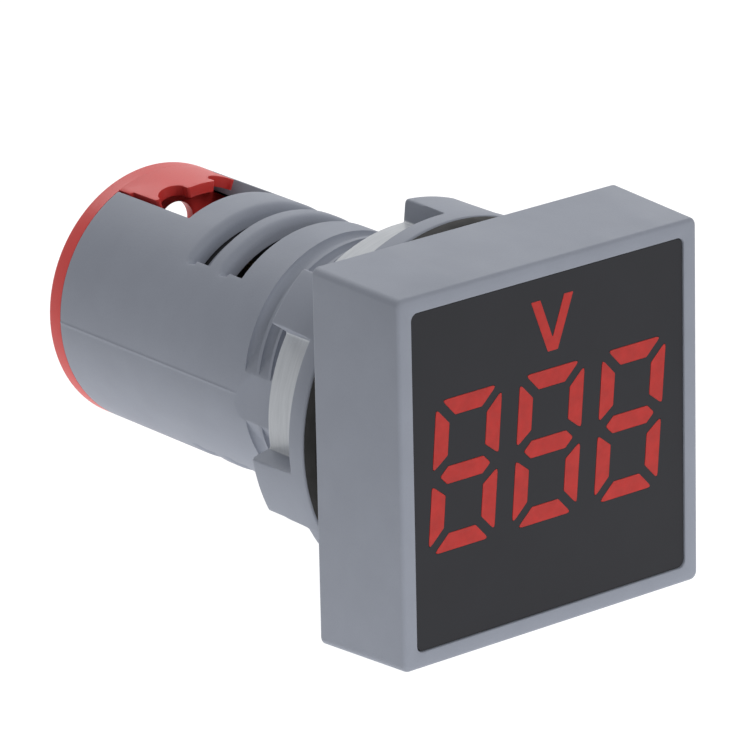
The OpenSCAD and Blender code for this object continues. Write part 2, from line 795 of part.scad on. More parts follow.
// Wires that run from the terminals' tails to both sides of the power board.
module lead_wires() color([0.75, 0.76, 0.78]) {
    r = wire_d / 2;
    z = tail_z - tail_thick / 2 - r;
    y_joint = power_front + power_board_len - wire_inset;
    for (side = [-1, 1]) {
        rod(y_joint, base_front - 0.3, r, tail_x, side * z);
        translate([tail_x, y_joint, side * z]) sphere(r);
    }
    translate([tail_x, y_joint, power_top]) cylinder(h = z - power_top, r = r);
    translate([tail_x, y_joint, -z]) cylinder(h = z + power_under, r = r);
}

bezel();
face_panel();
digit_left();
digit_middle();
digit_right();
display_module();
display_board();
driver_chip();
board_header();
power_board();
film_capacitor();
filter_capacitor();
bridge_rectifier();
dropper_resistors();
barrel();
gasket();
ring_nut();
rear_cover();
terminal_base();
upper_terminal();
lower_terminal();
upper_clamp();
lower_clamp();
upper_screw();
lower_screw();
lead_wires();
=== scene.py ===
"""Looks of a square-faced panel meter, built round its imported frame.

Size fields are in millimetres and meshes are written in metres. X points to the reader's right,
Y from the display to the terminals, and Z up. Angles round the barrel are in degrees from the top
towards +X.
"""
import logging
import math
from collections.abc import Callable, Sequence
from dataclasses import dataclass, field
from enum import Enum
from functools import cached_property

import bmesh
import bpy
from mathutils import Matrix, Vector


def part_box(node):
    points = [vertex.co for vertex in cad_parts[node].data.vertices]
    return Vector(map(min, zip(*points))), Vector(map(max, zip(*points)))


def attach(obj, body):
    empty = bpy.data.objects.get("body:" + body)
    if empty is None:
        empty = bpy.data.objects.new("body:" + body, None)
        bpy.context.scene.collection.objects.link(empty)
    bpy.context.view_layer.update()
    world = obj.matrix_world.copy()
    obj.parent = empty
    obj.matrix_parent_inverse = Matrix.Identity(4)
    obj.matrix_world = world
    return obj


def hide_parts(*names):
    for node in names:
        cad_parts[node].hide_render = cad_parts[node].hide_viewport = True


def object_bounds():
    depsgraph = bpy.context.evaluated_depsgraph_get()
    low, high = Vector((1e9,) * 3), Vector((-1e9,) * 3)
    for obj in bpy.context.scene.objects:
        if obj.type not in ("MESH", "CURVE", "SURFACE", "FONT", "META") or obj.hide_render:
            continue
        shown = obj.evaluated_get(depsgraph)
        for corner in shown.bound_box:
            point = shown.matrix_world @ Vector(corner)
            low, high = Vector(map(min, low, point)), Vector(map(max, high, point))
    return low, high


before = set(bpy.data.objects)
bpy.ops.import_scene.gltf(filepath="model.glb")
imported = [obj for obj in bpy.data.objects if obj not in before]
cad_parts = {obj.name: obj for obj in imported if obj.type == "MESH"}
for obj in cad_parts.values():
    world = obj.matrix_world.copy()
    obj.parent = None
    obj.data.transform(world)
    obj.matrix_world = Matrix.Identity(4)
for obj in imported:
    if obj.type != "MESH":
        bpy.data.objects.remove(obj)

LOG = logging.getLogger("panel_meter")
MM = 0.001
FULL_TURN = 360.0
# Sockets of the Mix node that hold colours
MIX_FIRST, MIX_SECOND, MIX_RESULT = 6, 7, 2
GREY_COLOUR = (0.290, 0.312, 0.368)
# Edges that fold more than this stay crisp
SHARP_DEG = 32.0
# Points closer than this become one
WELD = 0.002
# Grid lines closer than this become one
LEAST_GAP = 0.004
# Difference that counts as none
TOUCH = 0.01
# Places of the points along a softened corner, from one side to the other
SOFT_STEPS = (0.0, 0.35, 0.65, 1.0)
# Sections of a turned ring, and points of a round plate and of its small holes and posts
RING_SECTIONS = 144
PLATE_POINTS = 120
HOLE_POINTS = 36
POST_POINTS = 24
CAD_BOX = [list(corner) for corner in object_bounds()]

Point = tuple[float, float, float]
Flat = tuple[float, float]
Colour = tuple[float, float, float]
Shape = tuple[list[Point], list[list[int]]]
EdgeTest = Callable[[bmesh.types.BMEdge], bool]


class Body(Enum):
    """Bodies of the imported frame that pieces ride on."""

    ROOT = "root"
    GASKET = "gasket"
    NUT = "ring_nut"
    COVER = "rear_cover"


class Slot(Enum):
    """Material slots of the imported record."""

    GREY = "grey_plastic"
    FACE = "smoked_face"
    SEGMENT = "red_segments"
    WHITE = "white_plastic"
    BOARD = "board_laminate"
    CHIP = "chip_package"
    PIN = "gold_pins"
    FILM_CASE = "capacitor_case"
    SLEEVE = "capacitor_sleeve"
    RESISTOR = "resistor_body"
    RUBBER = "black_rubber"
    RED = "red_plastic"
    BLACK = "black_plastic"
    BRASS = "terminal_brass"
    STEEL = "plated_steel"
    TINNED = "tinned_copper"


# ---- Node materials ----


class Shader:
    """Builds the nodes of one material round a Principled shader."""

    def __init__(self, name: str) -> None:
        """Starts an empty material.

        Args:
            name: Name of the material.
        """
        self.material = bpy.data.materials.new(name)
        self.material.use_nodes = True
        self.tree = self.material.node_tree
        self.tree.nodes.clear()
        self.output = self.tree.nodes.new("ShaderNodeOutputMaterial")
        self.surface = self.tree.nodes.new("ShaderNodeBsdfPrincipled")
        self.tree.links.new(self.surface.outputs[0], self.output.inputs["Surface"])
        self.place = self.tree.nodes.new("ShaderNodeTexCoord").outputs["Object"]

    def set(self, name: str, value: object) -> None:
        """Sets or links an input of the Principled shader.

        Args:
            name: Name of the input.
            value: A socket to link, or a plain value.
        """
        self.feed(self.surface.inputs[name], value)

    def feed(self, target: bpy.types.NodeSocket, value: object) -> None:
        """Gives a socket its link or value.

        Args:
            target: Input socket.
            value: A socket to link, or a plain value.
        """
        if isinstance(value, bpy.types.NodeSocket):
            self.tree.links.new(value, target)
        elif isinstance(value, tuple) and len(value) == 3:
            target.default_value = (*value, 1.0) if target.type == "RGBA" else value
        else:
            target.default_value = value

    def node(self, kind: str, **settings: object) -> bpy.types.Node:
        """Adds a node.

        Args:
            kind: Node type without its ShaderNode prefix.
            settings: Properties to set on it.

        Returns:
            The new node.
        """
        made = self.tree.nodes.new("ShaderNode" + kind)
        for key, value in settings.items():
            setattr(made, key, value)
        return made

    def noise(self, grain_mm: float, detail: float = 2.0, stretch: Point = (1, 1, 1),
              distortion: float = 0.0) -> bpy.types.NodeSocket:
        """Adds a noise pattern of a real size.

        Args:
            grain_mm: Size of one blotch.
            detail: Octaves of finer noise.
            stretch: Scale along each axis.
            distortion: How much the pattern swirls.

        Returns:
            The noise value, about 0.5 on average.
        """
        mapping = self.node("Mapping")
        self.feed(mapping.inputs["Vector"], self.place)
        mapping.inputs["Scale"].default_value = stretch
        made = self.node("TexNoise")
        self.feed(made.inputs["Vector"], mapping.outputs[0])
        made.inputs["Scale"].default_value = 1 / (grain_mm * MM)
        made.inputs["Detail"].default_value = detail
        made.inputs["Distortion"].default_value = distortion
        return made.outputs["Fac"]

    def remap(self, value: bpy.types.NodeSocket, low: float, high: float,
              start: float = 0.3, end: float = 0.7) -> bpy.types.NodeSocket:
        """Maps a pattern to a range.

        Args:
            value: Pattern to map.
            low: Result where the pattern is at start.
            high: Result where the pattern is at end.
            start: Pattern value that gives low.
            end: Pattern value that gives high.

        Returns:
            The mapped value.
        """
        made = self.node("MapRange")
        limits = {"From Min": start, "From Max": end, "To Min": low, "To Max": high}
        for name, number in limits.items():
            made.inputs[name].default_value = number
        self.feed(made.inputs["Value"], value)
        return made.outputs["Result"]

    def blend(self, factor: object, first: object, second: object) -> bpy.types.NodeSocket:
        """Mixes two colours.

        Args:
            factor: Share of the second colour.
            first: Colour or socket at 0.
            second: Colour or socket at 1.

        Returns:
            The mixed colour.
        """
        made = self.node("Mix", data_type="RGBA")
        self.feed(made.inputs[0], factor)
        self.feed(made.inputs[MIX_FIRST], first)
        self.feed(made.inputs[MIX_SECOND], second)
        return made.outputs[MIX_RESULT]

    def bump(self, height: bpy.types.NodeSocket, depth_mm: float,
             under: bpy.types.NodeSocket | None = None) -> bpy.types.NodeSocket:
        """Adds surface relief.

        Args:
            height: Height pattern from 0 to 1.
            depth_mm: Height of a full step of the pattern.
            under: Relief that this one lies on.

        Returns:
            The bent normal.
        """
        made = self.node("Bump")
        made.inputs["Strength"].default_value = 1.0
        made.inputs["Distance"].default_value = depth_mm * MM
        self.feed(made.inputs["Height"], height)
        if under is not None:
            self.feed(made.inputs["Normal"], under)
        return made.outputs["Normal"]

    def mottled(self, colour: Colour, amount: float, blotch_mm: float) -> bpy.types.NodeSocket:
        """Gives a colour the slight unevenness of a real surface.

        Args:
            colour: Linear colour.
            amount: Share by which it darkens and lightens.
            blotch_mm: Size of one blotch.

        Returns:
            The uneven colour.
        """
        dark = tuple(c * (1 - amount) for c in colour)
        light = tuple(min(1.0, c * (1 + amount)) for c in colour)
        return self.blend(self.remap(self.noise(blotch_mm, 3.0), 0.0, 1.0), dark, light)


@dataclass(frozen=True)
class Finish:
    """Procedural material of one kind of surface."""

    name: str
    colour: Colour

    def material(self) -> bpy.types.Material:
        """Builds the material.

        Returns:
            The new material.
        """
        shader = Shader(self.name)
        self.paint(shader)
        return shader.material

    def paint(self, shader: Shader) -> None:
        """Sets the shader's colour, roughness and relief.

        Args:
            shader: Material being built.
        """
        raise NotImplementedError


@dataclass(frozen=True)
class MouldedPlastic(Finish):
    """Moulded plastic with a fine spark-eroded grain, and an optional painted highlight band round
    the Y axis.
    """

    roughness: float = 0.54
    grain_mm: float = 0.16
    grain_depth_mm: float = 0.010
    mottle: float = 0.025
    specular: float = 0.25
    subsurface: float = 0.0
    flow_mm: float = 6.0
    flow_depth_mm: float = 0.012
    blotch_mm: float = 3.5
    speck_dark: float = 0.9
    # Painted highlight band: radius of the surface painted paler (0 for none), the dark and light
    # colours of its streaky paint, its roughness, and how far from that radius the paint fades out
    highlight_band_radius_mm: float = 0.0
    highlight_low: Colour = (0.50, 0.525, 0.56)
    highlight_high: Colour = (0.58, 0.605, 0.64)
    band_roughness: float = 0.3
    highlight_reach_mm: Flat = (0.06, 0.14)

    def paint(self, shader: Shader) -> None:
        """Sets the shader's colour, roughness and relief.

        Args:
            shader: Material being built.
        """
        grain = shader.noise(self.grain_mm, 3.0)
        flow = shader.noise(self.flow_mm, 2.0, (1.0, 0.35, 1.0), 0.6)
        colour = shader.mottled(self.colour, self.mottle, self.blotch_mm)
        speck = shader.remap(grain, 0.0, 0.35, 0.55, 0.75)
        darker = tuple(c * self.speck_dark for c in self.colour)
        shade = shader.blend(speck, colour, darker)
        roughness = shader.remap(flow, self.roughness - 0.05, self.roughness + 0.06)
        # Painted highlight: the surface at the given radius gets paler streaky colours in place of
        # the light a glossy collar catches; its lower roughness is the collar's real gloss
        if self.highlight_band_radius_mm:
            band = self._painted_highlight_band(shader)
            highlight_streaks = shader.remap(shader.noise(0.4, 3.0, (0.12, 1.6, 0.12)), 0.0, 1.0)
            streaked_highlight = shader.blend(highlight_streaks, self.highlight_low, self.highlight_high)
            shade = shader.blend(band, shade, streaked_highlight)
            roughness = shader.remap(band, self.roughness, self.band_roughness, 0.0, 1.0)
        shader.set("Base Color", shade)
        shader.set("Roughness", roughness)
        relief = shader.bump(grain, self.grain_depth_mm)
        shader.set("Normal", shader.bump(flow, self.flow_depth_mm, relief))
        shader.set("Specular IOR Level", self.specular)
        if self.subsurface:
            shader.set("Subsurface Weight", self.subsurface)
            shader.set("Subsurface Radius", (0.6, 0.25, 0.2))
            shader.set("Subsurface Scale", 0.6 * MM)

    def _painted_highlight_band(self, shader: Shader) -> bpy.types.NodeSocket:
        """Finds the surface at the radius that is painted paler as a highlight, measured from the Y
        axis.

        Args:
            shader: Material being built.

        Returns:
            1 on the surface that gets the painted highlight and 0 elsewhere.
        """
        flat = shader.node("VectorMath", operation="MULTIPLY")
        shader.feed(flat.inputs[0], shader.place)
        flat.inputs[1].default_value = (1.0, 0.0, 1.0)
        out = shader.node("VectorMath", operation="LENGTH")
        shader.feed(out.inputs[0], flat.outputs[0])
        aside = shader.node("Math", operation="SUBTRACT")
        shader.feed(aside.inputs[0], out.outputs["Value"])
        aside.inputs[1].default_value = self.highlight_band_radius_mm * MM
        off = shader.node("Math", operation="ABSOLUTE")
        shader.feed(off.inputs[0], aside.outputs[0])
        near, far = self.highlight_reach_mm
        return shader.remap(off.outputs[0], 1.0, 0.0, near * MM, far * MM)


@dataclass(frozen=True)
class SmokedPanel(Finish):
    """Dark tinted face with a satin coat and faint handling marks."""

    roughness: float = 0.34

    def paint(self, shader: Shader) -> None:
        """Sets the shader's colour, roughness and relief.

        Args:
            shader: Material being built.
        """
        grain = shader.noise(0.08, 2.0)
        cloud = shader.noise(9.0, 3.0, (1, 1, 1), 0.8)
        shader.set("Base Color", shader.mottled(self.colour, 0.08, 5.0))
        shader.set("Roughness", shader.remap(cloud, self.roughness - 0.06, self.roughness + 0.08))
        shader.set("Normal", shader.bump(grain, 0.003))
        shader.set("Specular IOR Level", 0.3)


@dataclass(frozen=True)
class TintedResin(Finish):
    """Cloudy tinted resin of an unlit segment bar."""

    def paint(self, shader: Shader) -> None:
        """Sets the shader's colour, roughness and relief.

        Args:
            shader: Material being built.
        """
        cloud = shader.noise(1.1, 3.0)
        deep = tuple(c * 0.82 for c in self.colour)
        shader.set("Base Color", shader.blend(shader.remap(cloud, 0.0, 1.0), deep, self.colour))
        shader.set("Roughness", shader.remap(shader.noise(0.3, 2.0), 0.38, 0.52))
        shader.set("Normal", shader.bump(shader.noise(0.12, 2.0), 0.005))
        shader.set("Specular IOR Level", 0.35)
        shader.set("Subsurface Weight", 0.15)
        shader.set("Subsurface Radius", (0.7, 0.2, 0.15))
        shader.set("Subsurface Scale", 0.4 * MM)


@dataclass(frozen=True)
class SoftRubber(Finish):
    """Matt rubber with a dusty bloom."""

    def paint(self, shader: Shader) -> None:
        """Sets the shader's colour, roughness and relief.

        Args:
            shader: Material being built.
        """
        bloom = shader.remap(shader.noise(1.4, 4.0), 0.0, 0.6, 0.45, 0.75)
        dusty = tuple(c * 2.0 + 0.001 for c in self.colour)
        shader.set("Base Color", shader.blend(bloom, self.colour, dusty))
        shader.set("Roughness", shader.remap(bloom, 0.72, 0.86, 0.0, 0.6))
        shader.set("Normal", shader.bump(shader.noise(0.2, 3.0), 0.02))
        shader.set("Specular IOR Level", 0.25)


@dataclass(frozen=True)
class WorkedMetal(Finish):
    """Plated or stamped metal with fine tool lines."""

    roughness: float = 0.3
    line_stretch: Point = (1.0, 12.0, 1.0)

    def paint(self, shader: Shader) -> None:
        """Sets the shader's colour, roughness and relief.

        Args:
            shader: Material being built.
        """
        lines = shader.noise(0.5, 3.0, self.line_stretch)
        shader.set("Base Color", shader.mottled(self.colour, 0.1, 1.2))
        shader.set("Metallic", 1.0)
        shader.set("Roughness", shader.remap(lines, self.roughness - 0.07, self.roughness + 0.12))
        shader.set("Normal", shader.bump(lines, 0.006))


@dataclass(frozen=True)
class BoardLaminate(Finish):
    """Green circuit board with copper tracks under its mask."""

    track: Colour
    track_pitch_mm: float = 1.27

    def paint(self, shader: Shader) -> None:
        """Sets the shader's colour, roughness and relief.

        Args:
            shader: Material being built.
        """
        cells = shader.node("TexVoronoi", feature="F1", distance="CHEBYCHEV")
        shader.feed(cells.inputs["Vector"], shader.place)
        cells.inputs["Scale"].default_value = 1 / (self.track_pitch_mm * MM)
        track = shader.remap(cells.outputs["Distance"], 1.0, 0.0, 0.22, 0.28)
        mask = shader.mottled(self.colour, 0.15, 0.9)
        shader.set("Base Color", shader.blend(track, mask, self.track))
        shader.set("Roughness", shader.remap(track, 0.32, 0.24, 0.0, 1.0))
        shader.set("Normal", shader.bump(track, 0.03))


# ---- Meshes ----


def placed(name: str, data: bpy.types.ID) -> bpy.types.Object:
    """Adds an object to the scene.

    Args:
        name: Name of the object.
        data: Its mesh, lamp or camera.

    Returns:
        The new object.
    """
    made = bpy.data.objects.new(name, data)
    bpy.context.scene.collection.objects.link(made)
    return made


class MeshMaker:
    """Turns plain points and faces into pieces of the meter."""

    def __init__(self, finishes: dict[Slot, bpy.types.Material]) -> None:
        """Keeps the finishes that pieces are dressed with.

        Args:
            finishes: One material for each slot.
        """
        self.finishes = finishes

    def piece(self, name: str, shape: Shape, slot: Slot, body: Body = Body.ROOT,
              bevel_mm: float = 0.0, bevelled: EdgeTest | None = None) -> bpy.types.Object:
        """Makes a dressed piece that rides on a body.

        Args:
            name: Name of the piece.
            shape: Corners in millimetres, and the corner numbers of each face.
            slot: Finish of the piece.
            body: Body that carries it.
            bevel_mm: Rounding of chosen edges, or 0 for none.
            bevelled: Says whether an edge is rounded; by default every crisp edge is.

        Returns:
            The new object.
        """
        points, faces = shape
        mesh = bpy.data.meshes.new(name)
        mesh.from_pydata([tuple(c * MM for c in point) for point in points], [], faces)
        work = bmesh.new()
        work.from_mesh(mesh)
        bmesh.ops.remove_doubles(work, verts=work.verts, dist=WELD * MM)
        bmesh.ops.recalc_face_normals(work, faces=work.faces)
        self._mark_edges(work, bevel_mm, bevelled)
        work.to_mesh(mesh)
        work.free()
        made = placed(name, mesh)
        if bevel_mm:
            rounding = made.modifiers.new("rounded_edges", "BEVEL")
            rounding.limit_method = "WEIGHT"
            rounding.width = bevel_mm * MM
            rounding.segments = 3
        made.data.materials.append(self.finishes[slot])
        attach(made, body.value)
        LOG.info("%s: %d faces", name, len(faces))
        return made

    @staticmethod
    def _mark_edges(work: bmesh.types.BMesh, bevel_mm: float, bevelled: EdgeTest | None) -> None:
        """Smooths the faces and marks the crisp and the rounded edges.

        Args:
            work: Mesh to mark.
            bevel_mm: Rounding, or 0 for none.
            bevelled: Says whether an edge is rounded.
        """
        weight = work.edges.layers.float.new("bevel_weight_edge") if bevel_mm else None
        limit = math.radians(SHARP_DEG)
        for face in work.faces:
            face.smooth = True
        for edge in work.edges:
            crisp = len(edge.link_faces) == 2 and edge.calc_face_angle(0.0) > limit
            rounded = bevel_mm > 0 and crisp and (bevelled is None or bevelled(edge))
            edge.smooth = not crisp or rounded
            if rounded:
                edge[weight] = 1.0

    def dress(self, node: str, slot: Slot) -> None:
        """Gives a carried-over node its finish.

        Args:
            node: Name of the node.
            slot: Finish to give it.
        """
        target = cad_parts[node]
        target.data.materials.clear()
        target.data.materials.append(self.finishes[slot])
        LOG.info("dressed %s with %s", node, slot.value)


def arc(centre: Flat, radius: float, start_deg: float, end_deg: float, steps: int) -> list[Flat]:
    """Points along an arc.

    Args:
        centre: Centre of the arc.
        radius: Its radius.
        start_deg: Angle of the first point.
        end_deg: Angle of the last point.
        steps: Number of spans.

    Returns:
        The points, both ends included.
    """
    turn = [math.radians(start_deg + (end_deg - start_deg) * k / steps) for k in range(steps + 1)]
    return [(centre[0] + radius * math.cos(a), centre[1] + radius * math.sin(a)) for a in turn]


def quarter_turn(spans: int) -> list[float]:
    """Divides a quarter turn evenly.

    Args:
        spans: Number of parts.

    Returns:
        The angles in radians, both ends included.
    """
    return [math.radians(90.0 * k / spans) for k in range(spans + 1)]


def rounded_square(width: float, radius: float, steps: int = 6) -> list[Flat]:
    """Outline of a square with round corners.

    Args:
        width: Width of the square.
        radius: Corner radius.
        steps: Spans in each corner.

    Returns:
        The outline, anticlockwise.
    """
    reach = width / 2 - radius
    outline: list[Flat] = []
    for k, (sx, sz) in enumerate(((1, 1), (-1, 1), (-1, -1), (1, -1))):
        outline += arc((sx * reach, sz * reach), radius, 90.0 * k, 90.0 * (k + 1), steps)
    return outline


def circle(centre: Flat, radius: float, count: int) -> list[Flat]:
    """Outline of a circle.

    Args:
        centre: Centre of the circle.
        radius: Its radius.
        count: Number of points.

    Returns:
        The outline, anticlockwise.
    """
    return arc(centre, radius, 0.0, FULL_TURN - FULL_TURN / count, count - 1)


def closed_loft(sections: Sequence[Sequence[Point]]) -> Shape:
    """Joins closed sections in a ring, the last to the first.

    Args:
        sections: Closed sections with equal counts of points.

    Returns:
        The points and the faces.
    """
    count = len(sections[0])
    points = [point for section in sections for point in section]
    faces = []
    for s in range(len(sections)):
        after = (s + 1) % len(sections)
        for k in range(count):
            nxt = (k + 1) % count
            faces.append([s * count + k, s * count + nxt, after * count + nxt, after * count + k])
    return points, faces


def round_the_axis(radius: float, angle_deg: float, y: float) -> Point:
    """Point at an angle round the barrel's axis.

    Args:
        radius: Distance from the axis.
        angle_deg: Angle from the top towards +X.
        y: Distance behind the head.

    Returns:
        The point.
    """
    a = math.radians(angle_deg)
    return (radius * math.sin(a), y, radius * math.cos(a))


def turned(section: Sequence[Flat], count: int = RING_SECTIONS) -> Shape:
    """Turns a closed section round the barrel's axis.

    Args:
        section: Radius and distance behind the head of each point.
        count: Number of sections in the turn.

    Returns:
        The points and the faces.
    """
    step = FULL_TURN / count
    return closed_loft([[round_the_axis(r, step * k, y) for r, y in section] for k in range(count)])


def softened(outline: Sequence[Flat], radius: float) -> list[Flat]:
    """Rounds the corners of an outline.

    Args:
        outline: Corners of the outline.
        radius: Radius of the rounding.

    Returns:
        The outline with four points in place of each corner.
    """
    soft: list[Flat] = []
    befores, afters = [outline[-1], *outline[:-1]], [*outline[1:], outline[0]]
    for before, corner, after in zip(befores, outline, afters):
        here = Vector(corner)
        back, ahead = (Vector(before) - here).normalized(), (Vector(after) - here).normalized()
        reach = radius / math.tan(back.angle(ahead) / 2)
        for t in SOFT_STEPS:
            spot = here + back * (reach * (1 - t) ** 2) + ahead * (reach * t ** 2)
            soft.append((spot.x, spot.y))
    return soft


def thickened(sheet: bmesh.types.BMesh, step: Point) -> Shape:
    """Gives a flat sheet its thickness, and frees it.

    Args:
        sheet: Mesh to thicken.
        step: Way from one side to the other.

    Returns:
        The points and the faces.
    """
    grown = bmesh.ops.extrude_face_region(sheet, geom=sheet.faces[:])
    moved = [item for item in grown["geom"] if isinstance(item, bmesh.types.BMVert)]
    bmesh.ops.translate(sheet, verts=moved, vec=step)
    sheet.verts.index_update()
    points = [tuple(vertex.co) for vertex in sheet.verts]
    faces = [[vertex.index for vertex in face.verts] for face in sheet.faces]
    sheet.free()
    return points, faces


def extruded(outlines: Sequence[Sequence[Flat]], y0: float, y1: float) -> Shape:
    """Fills an outline, with holes, and gives it thickness along Y.

    Args:
        outlines: The outer outline, then its holes.
        y0: Front of the slab.
        y1: Rear of the slab.

    Returns:
        The points and the faces.
    """
    work = bmesh.new()
    for outline in outlines:
        ring = [work.verts.new((x, y0, z)) for x, z in outline]
        for k, vertex in enumerate(ring):
            work.edges.new((vertex, ring[(k + 1) % len(ring)]))
    bmesh.ops.triangle_fill(work, edges=work.edges[:], use_beauty=True, use_dissolve=False)
    bmesh.ops.recalc_face_normals(work, faces=work.faces)
    return thickened(work, (0, y1 - y0, 0))


def folded_angle(angle_deg: float) -> float:
    """Angle from the nearer of the top and the bottom.

    Args:
        angle_deg: Angle round the barrel, from -180 to 180.

    Returns:
        The folded angle, from 0 to 90.
    """
    away = abs(angle_deg)
    return min(away, 180.0 - away)


# ---- Head ----


@dataclass
class Head:
    """Bezel, display face, digits, unit letter and what stands behind them."""

    maker: MeshMaker
    edge_round: float = 0.36
    back_round: float = 0.28
    corner_round: float = 0.6
    border: float = 1.35
    window_round: float = 0.6
    window_ease: float = 0.1
    ease_middle: float = 0.3
    lip: float = 1.2
    lip_overlap: float = 0.32
    draft_total: float = 0.7
    face_gap: float = 0.06
    flange_thick: float = 0.8
    flange_round: float = 0.3
    digit_size: Flat = (6.54, 12.24)
    digit_shift: float = -0.22
    digit_pitch: float = 8.345
    digit_slant_deg: float = 5.0
    bar_width: float = 1.4
    mitre_gap: float = 0.55
    window_gap: float = 0.03
    bar_proud: float = 0.02
    tip_round: float = 0.2
    tip_gap: float = 0.08
    shoulder_gap: float = 0.12
    side_foot: float = 0.75
    grown_inner: float = 0.4
    grown_foot: float = 0.3
    grown_tip: float = 1.4
    letter_base: float = 7.55
    letter_height: float = 4.3
    letter_centre: float = 0.33
    letter_span: float = 4.24
    letter_stroke: float = 0.92
    letter_foot: float = 1.0
    letter_round: float = 0.06
    letter_notch: float = 0.24
    letter_depth: float = 0.2
    rounding_steps: int = 5

    @cached_property
    def front(self) -> float:
        """Distance of the bezel's front from the seat, negative."""
        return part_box("bezel")[0].y / MM

    @cached_property
    def face(self) -> float:
        """Distance of the display face from the seat, negative."""
        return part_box("face_panel")[0].y / MM

    @cached_property
    def back_width(self) -> float:
        """Width of the bezel's rear edge."""
        return (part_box("bezel")[1].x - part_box("bezel")[0].x) / MM

    @cached_property
    def front_width(self) -> float:
        """Width of the bezel's front face."""
        return self.back_width - self.draft_total

    def build(self) -> None:
        """Makes and dresses the head."""
        self._bezel()
        self._face()
        for place, node in enumerate(("digit_left", "digit_middle", "digit_right"), -1):
            self._digit(place, node)
        self._unit_letter()
        self.maker.dress("display_module", Slot.WHITE)

    def _bezel(self) -> None:
        """Lofts the bezel through its outer walls, border, window and cavity."""
        window = self.front_width - 2 * self.border
        cavity = window + 2 * self.lip_overlap
        plan: list[tuple[float, float, float]] = []
        for a in quarter_turn(self.rounding_steps):
            inset = self.back_round * (1 - math.sin(a))
            y = -self.back_round * (1 - math.cos(a))
            plan.append((y, self.back_width - 2 * inset, self.corner_round))
        for a in quarter_turn(self.rounding_steps):
            inset = self.edge_round * (1 - math.cos(a))
            y = self.front + self.edge_round * (1 - math.sin(a))
            plan.append((y, self.front_width - 2 * inset, self.corner_round))
        ease = self.window_ease
        plan.append((self.front, window + 2 * ease, self.window_round + ease))
        for y, width in ((self.front + ease * self.ease_middle,
                          window + 2 * self.ease_middle * ease),
                         (self.front + ease, window), (self.front + self.lip, window),
                         (self.front + self.lip, cavity), (0.0, cavity)):
            plan.append((y, width, self.window_round))
        sections = [[(x, y, z) for x, z in rounded_square(w, r)] for y, w, r in plan]
        made = self.maker.piece("bezel_shell", closed_loft(sections), Slot.GREY)
        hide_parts("bezel")

    def _face(self) -> None:
        """Makes the display face with a window for every bar, and its flange."""
        width = self.front_width - 2 * self.border - 2 * self.face_gap
        windows = [bar for place in (-1, 0, 1) for bar in self._bars(place, self.window_gap)]
        behind = self.front + self.lip
        pane = extruded([rounded_square(width, self.window_round), *windows], self.face, behind)
        sheet = self.maker.piece("display_face", pane, Slot.FACE)
        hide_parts("face_panel")
        edge = rounded_square(width + 2 * self.lip_overlap, self.flange_round)
        flange = extruded([edge, *windows], behind, behind + self.flange_thick)
        self.maker.piece("display_flange", flange, Slot.FACE)

    def _bars(self, place: int, margin: float = 0.0) -> list[list[Flat]]:
        """Outlines of one digit's seven bars.

        Args:
            place: -1, 0 or 1, for the left, middle and right digit.
            margin: How much each bar is grown on every side.

        Returns:
            The outlines, slanted, with softened corners.
        """
        w, h = self.digit_size[0] / 2, self.digit_size[1] / 2
        t, gap, m = self.bar_width, self.mitre_gap, margin
        inner = m * self.grown_inner
        end = [(gap - w - m, h + m), (w - gap + m, h + m), (w - gap - t - inner, h - t - m),
               (t + gap - w + inner, h - t - m)]
        side = [(w + m, h - gap + m), (w - t - m, h - gap - t - inner),
                (w - t - m, gap + self.side_foot * t - m * self.grown_foot), (w + m, gap - m)]
        tip, flat = w - t / 2 - self.tip_gap, w - t - self.shoulder_gap
        point = m * self.grown_tip
        middle = [(-tip - point, 0.0), (-flat, t / 2 + m), (flat, t / 2 + m), (tip + point, 0.0),
                  (flat, -t / 2 - m), (-flat, -t / 2 - m)]
        upright = [middle] + [[(x, s * z) for x, z in end] for s in (1, -1)]
        upright += [[(sx * x, sz * z) for x, z in side] for sx in (1, -1) for sz in (1, -1)]
        lean = math.tan(math.radians(self.digit_slant_deg))
        middle_x = self.digit_shift + place * self.digit_pitch
        leaning = [[(middle_x + x + z * lean, z) for x, z in bar] for bar in upright]
        return [softened(bar, self.tip_round) for bar in leaning]

    def _digit(self, place: int, node: str) -> None:
        """Makes one digit's bars.

        Args:
            place: -1, 0 or 1, for the left, middle and right digit.
            node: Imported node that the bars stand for.
        """
        back = self.front + self.lip + self.flange_thick
        for k, bar in enumerate(self._bars(place)):
            shape = extruded([bar], self.face - self.bar_proud, back)
            made = self.maker.piece(f"{node}_bar_{k + 1}", shape, Slot.SEGMENT)
            if k == 0:
                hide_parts(node)

    def _unit_letter(self) -> None:
        """Makes the unit letter that stands over the digits."""
        top = self.letter_base + self.letter_height
        half = self.letter_span / 2
        mid = self.letter_centre
        notch = self.letter_base + self.letter_height * self.letter_notch
        outline = [(mid - half, top), (mid - self.letter_foot / 2, self.letter_base),
                   (mid + self.letter_foot / 2, self.letter_base), (mid + half, top),
                   (mid + half - self.letter_stroke, top), (mid, notch),
                   (mid - half + self.letter_stroke, top)]
        letter = extruded([softened(outline, self.letter_round)], self.face - self.bar_proud,
                          self.face + self.letter_depth)
        self.maker.piece("unit_letter", letter, Slot.SEGMENT)


# ---- Barrel ----


